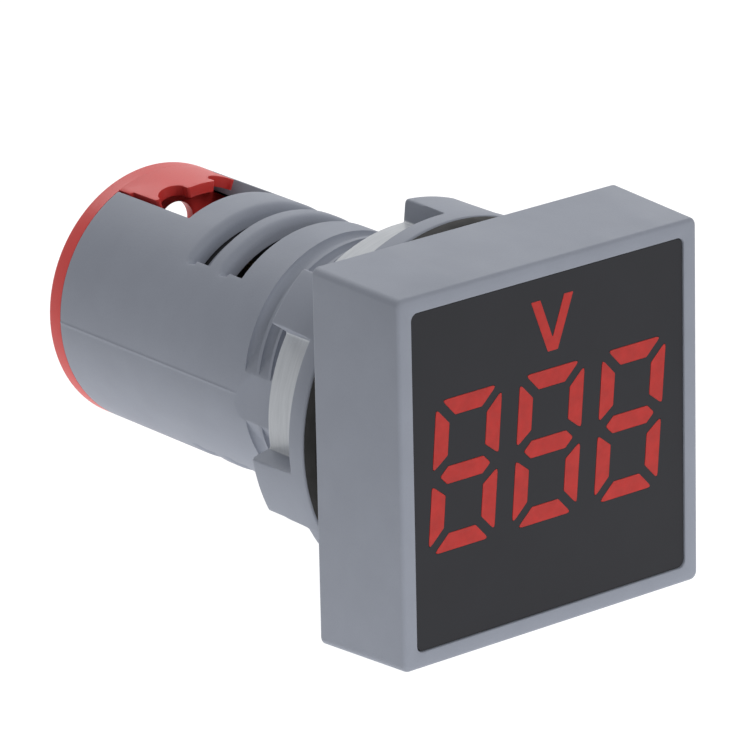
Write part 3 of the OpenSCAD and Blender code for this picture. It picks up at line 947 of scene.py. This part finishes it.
@dataclass
class Barrel:
    """Threaded housing with its slots, wire entries, seam and inner ribs."""

    maker: MeshMaker
    radius: float = 10.8
    wall: float = 1.4
    thread_pitch: float = 1.5
    thread_starts: int = 2
    thread_depth: float = 0.6
    thread_end: float = 15.2
    thread_turns: int = 9
    groove_open: float = 1.2
    rear_flank: float = 0.72
    front_flank: float = 0.4
    fade: float = 0.5
    fade_lean: float = 1.5
    climb_from: float = 1.0
    thread_margin: float = 1.0
    thread_rest: float = 3.0
    thread_flats: float = 21.2
    flat_blend: float = 1.2
    slot_count: int = 2
    slot_width: float = 2.35
    slot_pitch: float = 4.15
    slot_first: float = 20.25
    slot_angle: float = 42.7
    slot_ease: float = 0.8
    entry_length: float = 9.45
    entry_angle: float = 24.5
    seam_width_deg: float = 1.0
    seam_height: float = 0.03
    seam_reach: float = 0.25
    edge_bevel: float = 0.1
    skin_share: float = 0.7
    coarse_y: float = 0.8
    coarse_deg: float = 2.6
    fine_deg: float = 1.5
    fine_from_deg: float = 60.0
    seat_front: float = -1.8
    seat_round: float = 0.5
    post_back: float = -1.75
    post_place: float = 11.9
    post_radius: float = 1.2
    rail_front: float = 0.5
    rail_thick: float = 0.9
    rail_gap: float = 0.1
    rail_grip: float = 0.9
    stop_height: float = 0.6
    stop_length: float = 1.15
    stop_gap: float = 0.05
    rib_sink: float = 0.2

    @cached_property
    def length(self) -> float:
        """Length of the tube behind the head."""
        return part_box("barrel")[1].y / MM

    @cached_property
    def end_angle(self) -> float:
        """Angle from the top or bottom at which the grooves end."""
        return math.degrees(math.asin(self.thread_flats / 2 / self.radius))

    @cached_property
    def leave_angle(self) -> float:
        """Angle at which a groove's floor leaves its root circle."""
        return self.end_angle - math.degrees(math.acos(1 - self.thread_depth / self.radius))

    @cached_property
    def plain_from(self) -> float:
        """Distance behind the head from which the tube is free of the thread."""
        return self.thread_end + self.thread_rest

    def build(self) -> None:
        """Makes the tube, its seat plate, its rails and its stop."""
        tube = self.maker.piece("barrel_tube", self._tube(), Slot.GREY, bevel_mm=self.edge_bevel,
                                bevelled=self._is_opening_edge)
        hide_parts("barrel")
        self._seat_plate()
        self._inner_ribs()

    def _is_opening_edge(self, edge: bmesh.types.BMEdge) -> bool:
        """Says whether an edge borders a slot, an entry or the rear end.

        Args:
            edge: Edge to test.

        Returns:
            True if the edge is rounded.
        """
        first, second = (vertex.co / MM for vertex in edge.verts)
        middle = (first + second) / 2
        out = math.hypot(middle.x, middle.z)
        on_seam = abs(middle.z) < self.seam_reach and abs(second.y - first.y) > TOUCH
        on_skin = out > self.radius - self.wall * self.skin_share
        return middle.y > self.plain_from and on_skin and not on_seam

    def _groove_levels(self) -> list[float]:
        """Works out where the thread's section bends.

        Returns:
            The distances behind the head, sorted.
        """
        turn = quarter_turn(5)
        levels = []
        for k in range(self.thread_turns):
            rear = self.thread_end - k * self.thread_pitch
            levels += [rear - self.groove_open + self.front_flank * (1 - math.cos(a)) for a in turn]
            levels += [rear - self.rear_flank * (1 - math.cos(a)) for a in turn]
            if k < self.thread_starts:
                run = self.rear_flank + self.fade
                levels += [rear + self.fade - run * (1 - math.cos(a)) for a in turn]
        return sorted(levels)

    def _lines(self) -> tuple[list[float], list[float]]:
        """Works out where the tube's grid lines run.

        Returns:
            Angles in degrees and distances behind the head.
        """
        eased = [self.slot_ease * (1 - math.cos(a)) for a in quarter_turn(4)]
        entry = self.length - self.entry_length
        y_keys = [0.0, self.climb_from, self.plain_from, entry, self.length]
        for k in range(self.slot_count):
            front = self.slot_first + k * self.slot_pitch - self.slot_width / 2
            y_keys += [front] + [front + self.slot_width + e for e in eased]
        ys = self._filled(sorted(y_keys + self._groove_levels()), self.coarse_y)
        marks = [self.slot_angle, self.entry_angle, self.leave_angle, self.end_angle]
        fine = round((90 - self.fine_from_deg) / self.fine_deg)
        quarter = [0.0] + marks + [self.fine_from_deg + self.fine_deg * k for k in range(fine)]
        quarter += [90 - self.seam_width_deg / 2, 90 - self.seam_width_deg / 4]
        quarter = self._filled(sorted(q for q in quarter if q < 90), self.coarse_deg)
        half = quarter + [90.0] + [180 - q for q in reversed(quarter)]
        angles = sorted(set(round(s * a, 4) for a in half for s in (1, -1)))
        return [a for a in angles if a > -180.0], ys

    @staticmethod
    def _filled(keys: Sequence[float], step: float) -> list[float]:
        """Adds lines where two keys lie more than a step apart.

        Args:
            keys: Sorted lines that must be there.
            step: Widest gap.

        Returns:
            All lines.
        """
        lines = [keys[0]]
        for key in keys[1:]:
            gap = key - lines[-1]
            if gap < LEAST_GAP:
                continue
            parts = max(1, math.ceil(gap / step - 1e-6))
            lines += [lines[-1] + gap * k / parts for k in range(1, parts)] + [key]
        return lines

    def _is_open(self, angle: float, y: float) -> bool:
        """Says whether a spot of the tube lies in an opening.

        Args:
            angle: Angle round the tube.
            y: Distance behind the head.

        Returns:
            True if there is no wall there.
        """
        away = folded_angle(angle)
        if y > self.length - self.entry_length and away < self.entry_angle:
            return True
        for k in range(self.slot_count):
            middle = self.slot_first + k * self.slot_pitch
            if away < self.slot_angle and abs(y - middle) < self.slot_width / 2:
                return True
        return False

    def _helix_shift(self, angle: float, level: float) -> float:
        """How far a thread line has climbed at an angle.

        Args:
            angle: Angle round the tube, from -180 to 180.
            level: Distance behind the head of the line at the top and the bottom.

        Returns:
            The climb towards the rear.
        """
        climb = angle if abs(angle) <= 90 else angle - math.copysign(180, angle)
        rest = 90 - folded_angle(angle)
        climb *= min(1.0, rest / (90 - self.end_angle))
        marks = ((0.0, 0.0), (self.climb_from, 1.0), (self.thread_end - self.rear_flank, 1.0),
                 (self.thread_end + self.fade, self.fade_lean), (self.plain_from, 0.0))
        lean = 0.0
        for (y0, lean0), (y1, lean1) in zip(marks, marks[1:]):
            if y0 <= level <= y1:
                lean = lean0 + (lean1 - lean0) * (level - y0) / (y1 - y0)
        return lean * self.thread_pitch * self.thread_starts * climb / FULL_TURN

    def _groove_depth(self, level: float, end: float) -> float:
        """Depth of the thread at a level.

        Args:
            level: Distance behind the head at the top or the bottom.
            end: Rear edge of the last groove there.

        Returns:
            The depth as a share of the full depth.
        """
        floor_end = end - self.rear_flank
        if level > floor_end:
            out = (level - floor_end) / (self.rear_flank + self.fade)
            return math.sqrt(1 - out ** 2) if out < 1 else 0.0
        place = (end - level) % self.thread_pitch
        first = self.thread_end - self.thread_turns * self.thread_pitch
        if place >= self.groove_open or level < first:
            return 0.0
        rear = max(0.0, 1 - place / self.rear_flank)
        front = max(0.0, 1 - (self.groove_open - place) / self.front_flank)
        return math.sqrt(max(0.0, 1 - max(rear, front) ** 2))

    def _surface(self, angle: float, level: float) -> float:
        """Outer radius of the tube at a spot.

        Args:
            angle: Angle round the tube.
            level: Distance behind the head, without the thread's climb.

        Returns:
            The radius.
        """
        away = folded_angle(angle)
        out = self.radius
        if away < self.end_angle and level < self.thread_end + self.thread_margin:
            end = self.thread_end if abs(angle) < 90 else self.thread_end - self.thread_pitch
            root = self.radius - self.thread_depth
            ramp = root / math.cos(math.radians(max(0.0, away - self.leave_angle)))
            floor = self.radius - self.thread_depth * self._groove_depth(level, end)
            out = max(floor, min(ramp, self.radius))
        side = abs(math.sin(math.radians(angle)))
        past_thread = level - self.thread_end + self.flat_blend / 2
        rise = min(1.0, max(0.0, past_thread / self.flat_blend))
        reach = self.thread_flats / 2 + (self.radius - self.thread_flats / 2) * rise
        if side * out > reach:
            out = reach / side
        elif 90 - away < self.seam_width_deg / 3:
            out += self.seam_height
        for k in range(self.slot_count):
            past = level - (self.slot_first + k * self.slot_pitch + self.slot_width / 2)
            if 0 <= past < self.slot_ease and away < self.slot_angle + TOUCH:
                left = self.slot_ease - past
                out -= self.slot_ease - math.sqrt(max(0.0, self.slot_ease ** 2 - left ** 2))
        return out

    def _tube(self) -> Shape:
        """Builds the tube's skins and the walls of its openings on one grid.

        Returns:
            The points and the faces.
        """
        angles, levels = self._lines()
        across, along = len(angles), len(levels)
        bore = self.radius - self.wall
        spots = [(a, level, level + self._helix_shift(a, level))
                 for level in levels for a in angles]
        points = [round_the_axis(self._surface(a, level), a, y) for a, level, y in spots]
        inner = len(points)
        points += [round_the_axis(bore, a, y) for a, _, y in spots]
        kept = self._kept_cells(angles, levels)
        faces: list[list[int]] = []
        for k in range(along - 1):
            for a in range(across):
                if (a, k) not in kept:
                    continue
                b = (a + 1) % across
                quad = [k * across + a, k * across + b, (k + 1) * across + b, (k + 1) * across + a]
                faces.append(quad)
                faces.append([inner + i for i in reversed(quad)])
                before = (a - 1) % across
                sides = ((a, k - 1, 0, 1), (a, k + 1, 2, 3), (before, k, 3, 0), (b, k, 1, 2))
                for beside, beyond, i, j in sides:
                    if (beside, beyond) not in kept:
                        faces.append([quad[i], inner + quad[i], inner + quad[j], quad[j]])
        used = sorted({i for face in faces for i in face})
        index = {old: new for new, old in enumerate(used)}
        return [points[i] for i in used], [[index[i] for i in face] for face in faces]

    def _kept_cells(self, angles: Sequence[float], levels: Sequence[float]) -> set[tuple[int, int]]:
        """Finds the cells of the grid that have a wall.

        Args:
            angles: Angles of the lines that run along the tube.
            levels: Distances behind the head of the lines that run round it.

        Returns:
            Numbers of the lines that each such cell starts at.
        """
        kept = set()
        for a, left in enumerate(angles):
            right = angles[(a + 1) % len(angles)]
            middle = (left + right) / 2 if right > left else left + (right + FULL_TURN - left) / 2
            middle = middle - FULL_TURN if middle > 180 else middle
            for k, (front, back) in enumerate(zip(levels, levels[1:])):
                if not self._is_open(middle, (front + back) / 2):
                    kept.add((a, k))
        return kept

    def _seat_plate(self) -> None:
        """Makes the square plate that holds the tube in the bezel, and its posts."""
        low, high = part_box("barrel")
        front = low.y / MM
        width = (high.x - low.x) / MM
        hole = circle((0, 0), self.radius - self.wall, PLATE_POINTS)
        plate = extruded([rounded_square(width, self.seat_round), hole], self.seat_front, 0.0)
        self.maker.piece("barrel_seat", plate, Slot.GREY)
        for k, (sx, sz) in enumerate(((1, 1), (-1, 1), (-1, -1), (1, -1))):
            spot = (sx * self.post_place, sz * self.post_place)
            post = extruded([circle(spot, self.post_radius, POST_POINTS)], front, self.post_back)
            self.maker.piece(f"barrel_post_{k + 1}", post, Slot.GREY)

    def _inner_ribs(self) -> None:
        """Makes the ribs that hold the power board and the step that stops the terminal base."""
        low, high = (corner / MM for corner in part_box("power_board"))
        bore = self.radius - self.wall
        sunk = bore + self.rib_sink
        inner = high.x - self.rail_grip
        grips = ((1, high.z, 1), (-1, high.z, 1), (1, low.z, -1), (-1, low.z, -1))
        for k, (side, edge, way) in enumerate(grips):
            levels = (edge + way * self.rail_gap, edge + way * (self.rail_gap + self.rail_thick))
            outer = [math.sqrt(sunk ** 2 - z ** 2) for z in levels]
            outline = [(side * inner, levels[0]), (side * outer[0], levels[0]),
                       (side * outer[1], levels[1]), (side * inner, levels[1])]
            rail = extruded([outline], self.rail_front, high.y)
            self.maker.piece(f"barrel_rail_{k + 1}", rail, Slot.GREY)
        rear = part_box("terminal_base")[0].y / MM - self.stop_gap
        front, crest = rear - self.stop_length, bore - self.stop_height
        stop = turned([(crest, front), (sunk, front), (sunk, rear), (crest, rear)], PLATE_POINTS)
        self.maker.piece("barrel_stop", stop, Slot.GREY)


# ---- Gasket and nut ----


@dataclass
class PanelClamp:
    """Gasket and ring nut that grip the panel."""

    maker: MeshMaker
    bore: float = 10.88
    gasket_soft: float = 0.12
    gasket_inset: float = 0.05
    collar_radius: float = 13.55
    flange_thick: float = 1.85
    bore_chamfer: float = 0.3
    edge_round: float = 0.24
    root_fillet: float = 0.2
    lug_count: int = 6
    lug_turn: float = -48.0
    crown_width: float = 4.95
    root_width: float = 4.65
    lug_edge: float = 0.17
    arc_steps: int = 4
    small_steps: int = 2
    lug_steps: int = 4
    gap_steps: int = 8

    @cached_property
    def outer(self) -> float:
        """Outer radius of the nut's flange and lugs."""
        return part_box("ring_nut")[1].x / MM

    def build(self) -> None:
        """Makes the gasket and the nut."""
        self._gasket()
        self._nut()

    def _gasket(self) -> None:
        """Turns the gasket with soft edges."""
        outer, thick = self.outer - self.gasket_inset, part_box("gasket")[1].y / MM
        soft, bore, small = self.gasket_soft, self.bore, self.gasket_soft / 2
        section = arc((outer - soft, soft), soft, -90, 0, self.arc_steps)
        section += arc((outer - soft, thick - soft), soft, 0, 90, self.arc_steps)
        section += arc((bore + small, thick - small), small, 90, 180, self.small_steps)
        section += arc((bore + small, small), small, 180, 270, self.small_steps)
        made = self.maker.piece("gasket_ring", turned(section), Slot.RUBBER, Body.GASKET)
        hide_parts("gasket")

    def _lug_profile(self) -> list[tuple[float, float]]:
        """Half outline of a lug.

        Returns:
            Angles from the lug's middle and heights over the collar, as shares of the full height.
        """
        rise = self.outer - self.collar_radius
        half, root = self.crown_width / 2, self.root_width / 2
        e, f = self.lug_edge, self.root_fillet
        turn, n = quarter_turn(self.arc_steps), self.lug_steps
        outline = [((half - e) * k / n, 0.0) for k in range(n)]
        outline += [(half - e + e * math.sin(a), e * (1 - math.cos(a))) for a in turn]
        outline += [(half + (root - half) * k / n, e + (rise - f - e) * k / n) for k in range(1, n)]
        outline += [(root + f * (1 - math.cos(a)), rise - f + f * math.sin(a)) for a in turn]
        return [(math.degrees(math.asin(aside / (self.outer - drop))), 1 - drop / rise)
                for aside, drop in outline]

    def _stations(self) -> list[tuple[float, float]]:
        """Places the nut's sections over one turn.

        Returns:
            Angles and lug shares of the sections.
        """
        spacing, steps = FULL_TURN / self.lug_count, self.gap_steps
        half = self._lug_profile()
        last = half[-1][0]
        half += [(last + (spacing / 2 - last) * k / steps, 0.0) for k in range(1, steps)]
        one = [(-a, share) for a, share in reversed(half[1:])] + half + [(spacing / 2, 0.0)]
        starts = [self.lug_turn + spacing * n for n in range(self.lug_count)]
        return [(start + a, share) for start in starts for a, share in one]

    def _section(self, lug_share: float) -> list[Flat]:
        """Half section of the nut between a gap and a lug.

        Args:
            lug_share: 0 in a gap and 1 on a lug.

        Returns:
            Radius and distance behind the head of each point.
        """
        low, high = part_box("ring_nut")
        front, back = low.y / MM, high.y / MM
        e, c, f = self.edge_round, self.bore_chamfer, self.root_fillet
        outer, collar, bore = self.outer, self.collar_radius, self.bore
        step = front + self.flange_thick
        head = arc((outer - e, front + e), e, -90, 0, self.arc_steps)
        gap = arc((outer - e, step - e), e, 0, 90, self.arc_steps)
        gap += arc((collar + f, step + f), f, -90, -180, self.small_steps)
        gap += arc((collar - e, back - e), e, 0, 90, self.arc_steps)
        rise = len(gap) - self.arc_steps - 1
        lug = [(outer, step + (back - e - step) * k / rise) for k in range(rise)]
        lug += arc((outer - e, back - e), e, 0, 90, self.arc_steps)
        body = [(g[0] + (p[0] - g[0]) * lug_share, g[1] + (p[1] - g[1]) * lug_share)
                for g, p in zip(gap, lug)]
        hole = [(bore + c, back), (bore, back - c), (bore, front + c), (bore + c, front)]
        return head + body + hole

    def _nut(self) -> None:
        """Lofts the nut round the axis."""
        loops = [[round_the_axis(r, a, y) for r, y in self._section(share)]
                 for a, share in self._stations()]
        made = self.maker.piece("ring_nut_body", closed_loft(loops), Slot.GREY, Body.NUT)
        # The collar between the lugs is painted pale and streaky: a painted highlight for the light
        # it catches, on top of its real gloss
        finish = MouldedPlastic("nut_moulding", GREY_COLOUR, highlight_band_radius_mm=self.collar_radius)
        made.data.materials[0] = finish.material()
        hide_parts("ring_nut")


# ---- Rear cover ----


@dataclass
class RearCover:
    """Red clip-in cover with its rim, sunken web and two arms."""

    maker: MeshMaker
    radius: float = 10.8
    spigot_radius: float = 9.25
    recess_radius: float = 8.45
    hole_radius: float = 1.77
    hole_offset: float = 6.6
    rim_front: float = 38.9
    spigot: float = 1.9
    web: float = 1.0
    arm_thick: float = 0.9
    arm_reach: float = 4.6
    tongue_reach: float = 5.4
    tongue_half: float = 1.4
    neck_half: float = 1.05
    tongue_tip: float = 0.9
    arm_half_deg: float = 22.0
    root_half_deg: float = 23.6
    root_reach: float = 1.4
    rim_round: float = 0.35
    rim_steps: int = 5
    inner_steps: int = 3
    spigot_ease: float = 0.1
    web_sink: float = 0.1
    web_inset: float = 0.02
    web_bevel: float = 0.1
    arm_sink: float = 0.1
    arm_ease: float = 0.15
    arm_bevel: float = 0.14
    arm_spans: int = 16
    scoop_wall: float = 0.25
    scoop_drop: float = 0.35
    scoop_span: float = 0.94
    scoop_start_deg: float = 25.0
    scoop_steps: int = 12
    neck_ease: Flat = (0.02, 0.1)
    tongue_ease: float = 0.2

    def build(self) -> None:
        """Makes the rim, the web and the arms."""
        self._rim()
        front = self.rim_front - self.spigot
        holes = [circle((0, s * self.hole_offset), self.hole_radius, HOLE_POINTS) for s in (1, -1)]
        plate = circle((0, 0), self.recess_radius + self.web_sink, PLATE_POINTS)
        web = extruded([plate, *holes], front + self.web_inset, front + self.web)
        self.maker.piece("cover_web", web, Slot.RED, Body.COVER, bevel_mm=self.web_bevel)
        for name, turn in (("upper", 0.0), ("lower", 180.0)):
            self._arm(name, turn)

    def _rim(self) -> None:
        """Turns the rim and the spigot round the recess."""
        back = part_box("rear_cover")[1].y / MM
        e, inner, outer = self.rim_round, self.recess_radius, self.radius
        front = self.rim_front - self.spigot
        section = [(outer, self.rim_front)] + arc((outer - e, back - e), e, 0, 90, self.rim_steps)
        section += arc((inner + e / 2, back - e / 2), e / 2, 90, 180, self.inner_steps)
        spigot, ease = self.spigot_radius, self.spigot_ease
        section += [(inner, front), (spigot - ease, front), (spigot, front + ease),
                    (spigot, self.rim_front)]
        made = self.maker.piece("cover_rim", turned(section), Slot.RED, Body.COVER)
        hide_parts("rear_cover")

    def _plan(self) -> list[Flat]:
        """Outline of an arm laid flat, as widths round the barrel and distances behind the head.

        Returns:
            The outline.
        """
        reach = math.radians(1) * self.radius
        wide, root = self.arm_half_deg * reach, self.root_half_deg * reach
        y_rim = self.rim_front + self.arm_sink
        y_root = self.rim_front - self.root_reach
        y_wide = self.rim_front - self.arm_reach
        y_tip = self.rim_front - self.tongue_reach
        scoop = (wide - self.neck_half) / 2
        middle = self.neck_half + scoop
        bite, ease, start = scoop - self.scoop_wall, self.arm_ease, self.scoop_start_deg
        right = [(root, y_rim), (root, y_root), (wide, y_root - ease), (wide, y_wide + ease),
                 (wide - ease, y_wide), (middle + bite * self.scoop_span, y_wide)]
        right += arc((middle, y_wide - self.scoop_drop), bite, start, 180 - start, self.scoop_steps)
        right += [(middle - bite * self.scoop_span, y_wide),
                  (self.neck_half + self.neck_ease[0], y_wide - self.neck_ease[1]),
                  (self.neck_half, y_tip + self.tongue_tip),
                  (self.tongue_half, y_tip + self.tongue_tip - self.tongue_ease),
                  (self.tongue_half, y_tip + ease), (self.tongue_half - ease, y_tip)]
        return right + [(-x, y) for x, y in reversed(right)]

    def _arm(self, name: str, turn: float) -> None:
        """Bends one arm onto the barrel's curve.

        Args:
            name: Which arm.
            turn: Angle of its middle round the barrel.
        """
        work = bmesh.new()
        ring = [work.verts.new((x, y, 0)) for x, y in self._plan()]
        face = work.faces.new(ring)
        bmesh.ops.triangulate(work, faces=[face])
        reach = math.radians(self.root_half_deg) * self.radius
        half = self.arm_spans // 2
        for k in range(1 - half, half):
            everything = work.verts[:] + work.edges[:] + work.faces[:]
            bmesh.ops.bisect_plane(work, geom=everything, plane_co=(reach * k / half, 0, 0),
                                   plane_no=(1, 0, 0))
        flat, faces = thickened(work, (0, 0, -self.arm_thick))
        bent = [round_the_axis(self.radius + z, turn + math.degrees(x / self.radius), y)
                for x, y, z in flat]
        self.maker.piece(f"cover_arm_{name}", (bent, faces), Slot.RED, Body.COVER,
                         bevel_mm=self.arm_bevel)


# ---- Inside ----


@dataclass
class Inside:
    """Boards, components and terminals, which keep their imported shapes."""

    maker: MeshMaker
    finish_of: dict[str, Slot] = field(default_factory=lambda: {
        "display_board": Slot.BOARD, "power_board": Slot.BOARD, "driver_chip": Slot.CHIP,
        "bridge_rectifier": Slot.CHIP, "board_header": Slot.PIN, "film_capacitor": Slot.FILM_CASE,
        "filter_capacitor": Slot.SLEEVE, "dropper_resistors": Slot.RESISTOR,
        "terminal_base": Slot.BLACK,
        "upper_terminal": Slot.BRASS, "lower_terminal": Slot.BRASS, "upper_clamp": Slot.STEEL,
        "lower_clamp": Slot.STEEL, "upper_screw": Slot.STEEL, "lower_screw": Slot.STEEL,
        "lead_wires": Slot.TINNED})

    def build(self) -> None:
        """Dresses every inner piece."""
        for node, slot in self.finish_of.items():
            self.maker.dress(node, slot)


# ---- Studio ----


def background_rays(tree: bpy.types.NodeTree) -> bpy.types.NodeSocket:
    """Finds the rays that show the background: seen straight, mirrored or through a clear piece.

    Args:
        tree: Node tree of the floor or the world.

    Returns:
        1 for such rays and 0 for the rays that light the meter.
    """
    rays = tree.nodes.new("ShaderNodeLightPath")
    found = rays.outputs["Is Camera Ray"]
    for name in ("Is Glossy Ray", "Is Transmission Ray"):
        either = tree.nodes.new("ShaderNodeMath")
        either.operation = "MAXIMUM"
        tree.links.new(found, either.inputs[0])
        tree.links.new(rays.outputs[name], either.inputs[1])
        found = either.outputs[0]
    return found


@dataclass(frozen=True)
class Lamp:
    """Soft square lamp that faces the meter, with its place and width in metres."""

    name: str
    place: Point
    width: float
    watts: float

    def build(self) -> None:
        """Adds the lamp to the scene."""
        data = bpy.data.lights.new(self.name, "AREA")
        data.size = self.width
        data.energy = self.watts
        lamp = placed(self.name, data)
        lamp.location = self.place
        lamp.rotation_mode = "QUATERNION"
        lamp.rotation_quaternion = Vector(self.place).to_track_quat("Z", "Y")


@dataclass
class Studio:
    """Floor, lamps, world and camera; the floor's sizes and the clip distances are in metres."""

    azimuth_deg: float = -38.868
    elevation_deg: float = 19.532
    roll_deg: float = -1.211
    distance: float = 509.76
    aside: float = -7.277
    above: float = 3.029
    lens_mm: float = 313.45
    floor_size: float = 4.0
    floor_grey: float = 0.45
    floor_glow: float = 0.9
    pool_glow: float = 1.0
    pool_edge: Flat = (0.05, 0.2)
    floor_white_share: float = 0.6
    world_light: float = 0.25
    floor_gap: float = 0.02
    sensor_mm: float = 36.0
    clip: Flat = (0.01, 20.0)
    lamps: tuple[Lamp, ...] = (Lamp("rear_lamp", (0.1, 0.65, 0.7), 0.5, 2.5),
                               Lamp("right_lamp", (0.6, 0.5, 0.6), 0.5, 1.5),
                               Lamp("front_lamp", (0.1, -0.7, 0.7), 0.5, 3.5))

    def build(self) -> None:
        """Makes the whole studio."""
        self._camera()
        self._floor()
        self._world()
        for lamp in self.lamps:
            lamp.build()
        bpy.context.scene.view_settings.view_transform = "Standard"

    def _camera(self) -> None:
        """Places the camera at its angle, looking along its own axis."""
        angles = (self.azimuth_deg, self.elevation_deg, self.roll_deg)
        az, el, roll = (math.radians(angle) for angle in angles)
        back = Vector((math.sin(az) * math.cos(el), -math.cos(az) * math.cos(el), math.sin(el)))
        right = Vector((math.cos(az), math.sin(az), 0))
        up = back.cross(right)
        place = (back * self.distance + right * self.aside + up * self.above) * MM
        turned_right = right * math.cos(roll) + up * math.sin(roll)
        turned_up = up * math.cos(roll) - right * math.sin(roll)
        data = bpy.data.cameras.new("viewpoint")
        data.lens = self.lens_mm
        data.sensor_width = self.sensor_mm
        data.clip_start, data.clip_end = self.clip
        camera = placed("viewpoint", data)
        turn = Matrix((turned_right, turned_up, back)).transposed().to_4x4()
        camera.matrix_world = Matrix.Translation(place) @ turn
        bpy.context.scene.camera = camera

    def _floor(self) -> None:
        """Lays a pale floor under the head."""
        half = self.floor_size / 2
        z = CAD_BOX[0][2] - self.floor_gap * MM
        corners = [(-half, -half, z), (half, -half, z), (half, half, z), (-half, half, z)]
        mesh = bpy.data.meshes.new("studio_floor")
        mesh.from_pydata(corners, [], [(0, 1, 2, 3)])
        floor = placed("studio_floor", mesh)
        shader = Shader("pale_floor")
        shader.set("Base Color", (self.floor_grey,) * 3)
        shader.set("Emission Color", (1.0, 1.0, 1.0))
        seen = background_rays(shader.tree)
        away = shader.node("VectorMath", operation="LENGTH")
        shader.feed(away.inputs[0], shader.place)
        pool = shader.remap(away.outputs["Value"], self.pool_glow, 0.0, *self.pool_edge)
        shown = shader.remap(seen, 0.0, self.floor_glow, 0.0, 1.0)
        glowing = shader.node("Math", operation="MAXIMUM")
        shader.feed(glowing.inputs[0], pool)
        shader.feed(glowing.inputs[1], shown)
        shader.set("Emission Strength", glowing.outputs[0])
        shader.set("Roughness", 0.9)
        shader.set("Specular IOR Level", 0.1)
        glow = shader.node("Emission")
        glow.inputs["Strength"].default_value = 1.0
        whitened = shader.node("MixShader")
        share = shader.remap(seen, 0.0, self.floor_white_share, 0.0, 1.0)
        parts = (share, shader.surface.outputs[0], glow.outputs[0])
        for target, value in zip(whitened.inputs, parts):
            shader.feed(target, value)
        shader.feed(shader.output.inputs["Surface"], whitened.outputs[0])
        floor.data.materials.append(shader.material)

    def _world(self) -> None:
        """Gives an even pale world that looks white."""
        world = bpy.data.worlds.new("studio_world")
        world.use_nodes = True
        tree = world.node_tree
        tree.nodes.clear()
        out = tree.nodes.new("ShaderNodeOutputWorld")
        lit, seen = tree.nodes.new("ShaderNodeBackground"), tree.nodes.new("ShaderNodeBackground")
        lit.inputs["Strength"].default_value = self.world_light
        seen.inputs["Strength"].default_value = 1.0
        for background in (lit, seen):
            background.inputs["Color"].default_value = (1, 1, 1, 1)
        mix = tree.nodes.new("ShaderNodeMixShader")
        tree.links.new(background_rays(tree), mix.inputs[0])
        tree.links.new(lit.outputs[0], mix.inputs[1])
        tree.links.new(seen.outputs[0], mix.inputs[2])
        tree.links.new(mix.outputs[0], out.inputs["Surface"])
        bpy.context.scene.world = world


def make_finishes() -> dict[Slot, bpy.types.Material]:
    """Builds one material for each slot.

    Returns:
        The materials by slot.
    """
    finishes = {
        Slot.GREY: MouldedPlastic("grey_moulding", GREY_COLOUR),
        Slot.FACE: SmokedPanel("smoked_face", (0.009, 0.0095, 0.014)),
        Slot.SEGMENT: TintedResin("segment_resin", (0.50, 0.019, 0.014)),
        Slot.WHITE: MouldedPlastic("white_moulding", (0.80, 0.80, 0.77)),
        Slot.BOARD: BoardLaminate("green_board", (0.015, 0.10, 0.035), (0.05, 0.22, 0.08)),
        Slot.CHIP: MouldedPlastic("chip_moulding", (0.016, 0.016, 0.018), roughness=0.6),
        Slot.PIN: WorkedMetal("gold_pins", (0.85, 0.62, 0.25), 0.25),
        Slot.FILM_CASE: MouldedPlastic("film_case", (0.45, 0.08, 0.03), roughness=0.4),
        Slot.SLEEVE: MouldedPlastic("capacitor_sleeve", (0.02, 0.022, 0.028), roughness=0.35),
        Slot.RESISTOR: MouldedPlastic("resistor_lacquer", (0.10, 0.20, 0.32), roughness=0.3),
        Slot.RUBBER: SoftRubber("gasket_rubber", (0.004, 0.004, 0.004)),
        Slot.RED: MouldedPlastic("red_moulding", (0.66, 0.045, 0.040), roughness=0.36,
                                 specular=0.35, subsurface=0.08),
        Slot.BLACK: MouldedPlastic("black_moulding", (0.02, 0.02, 0.022), roughness=0.5),
        Slot.BRASS: WorkedMetal("stamped_brass", (0.75, 0.52, 0.20), 0.3),
        Slot.STEEL: WorkedMetal("zinc_plate", (0.62, 0.62, 0.63), 0.28),
        Slot.TINNED: WorkedMetal("tinned_wire", (0.66, 0.66, 0.67), 0.3),
    }
    return {slot: finish.material() for slot, finish in finishes.items()}


def main() -> None:
    """Builds the meter and its studio in order."""
    logging.basicConfig(level=logging.INFO, format="%(name)s: %(message)s")
    maker = MeshMaker(make_finishes())
    Studio().build()
    for assembly in (Head, Barrel, PanelClamp, RearCover, Inside):
        LOG.info("building %s", assembly.__name__)
        assembly(maker).build()


if __name__ == "__main__":
    main()
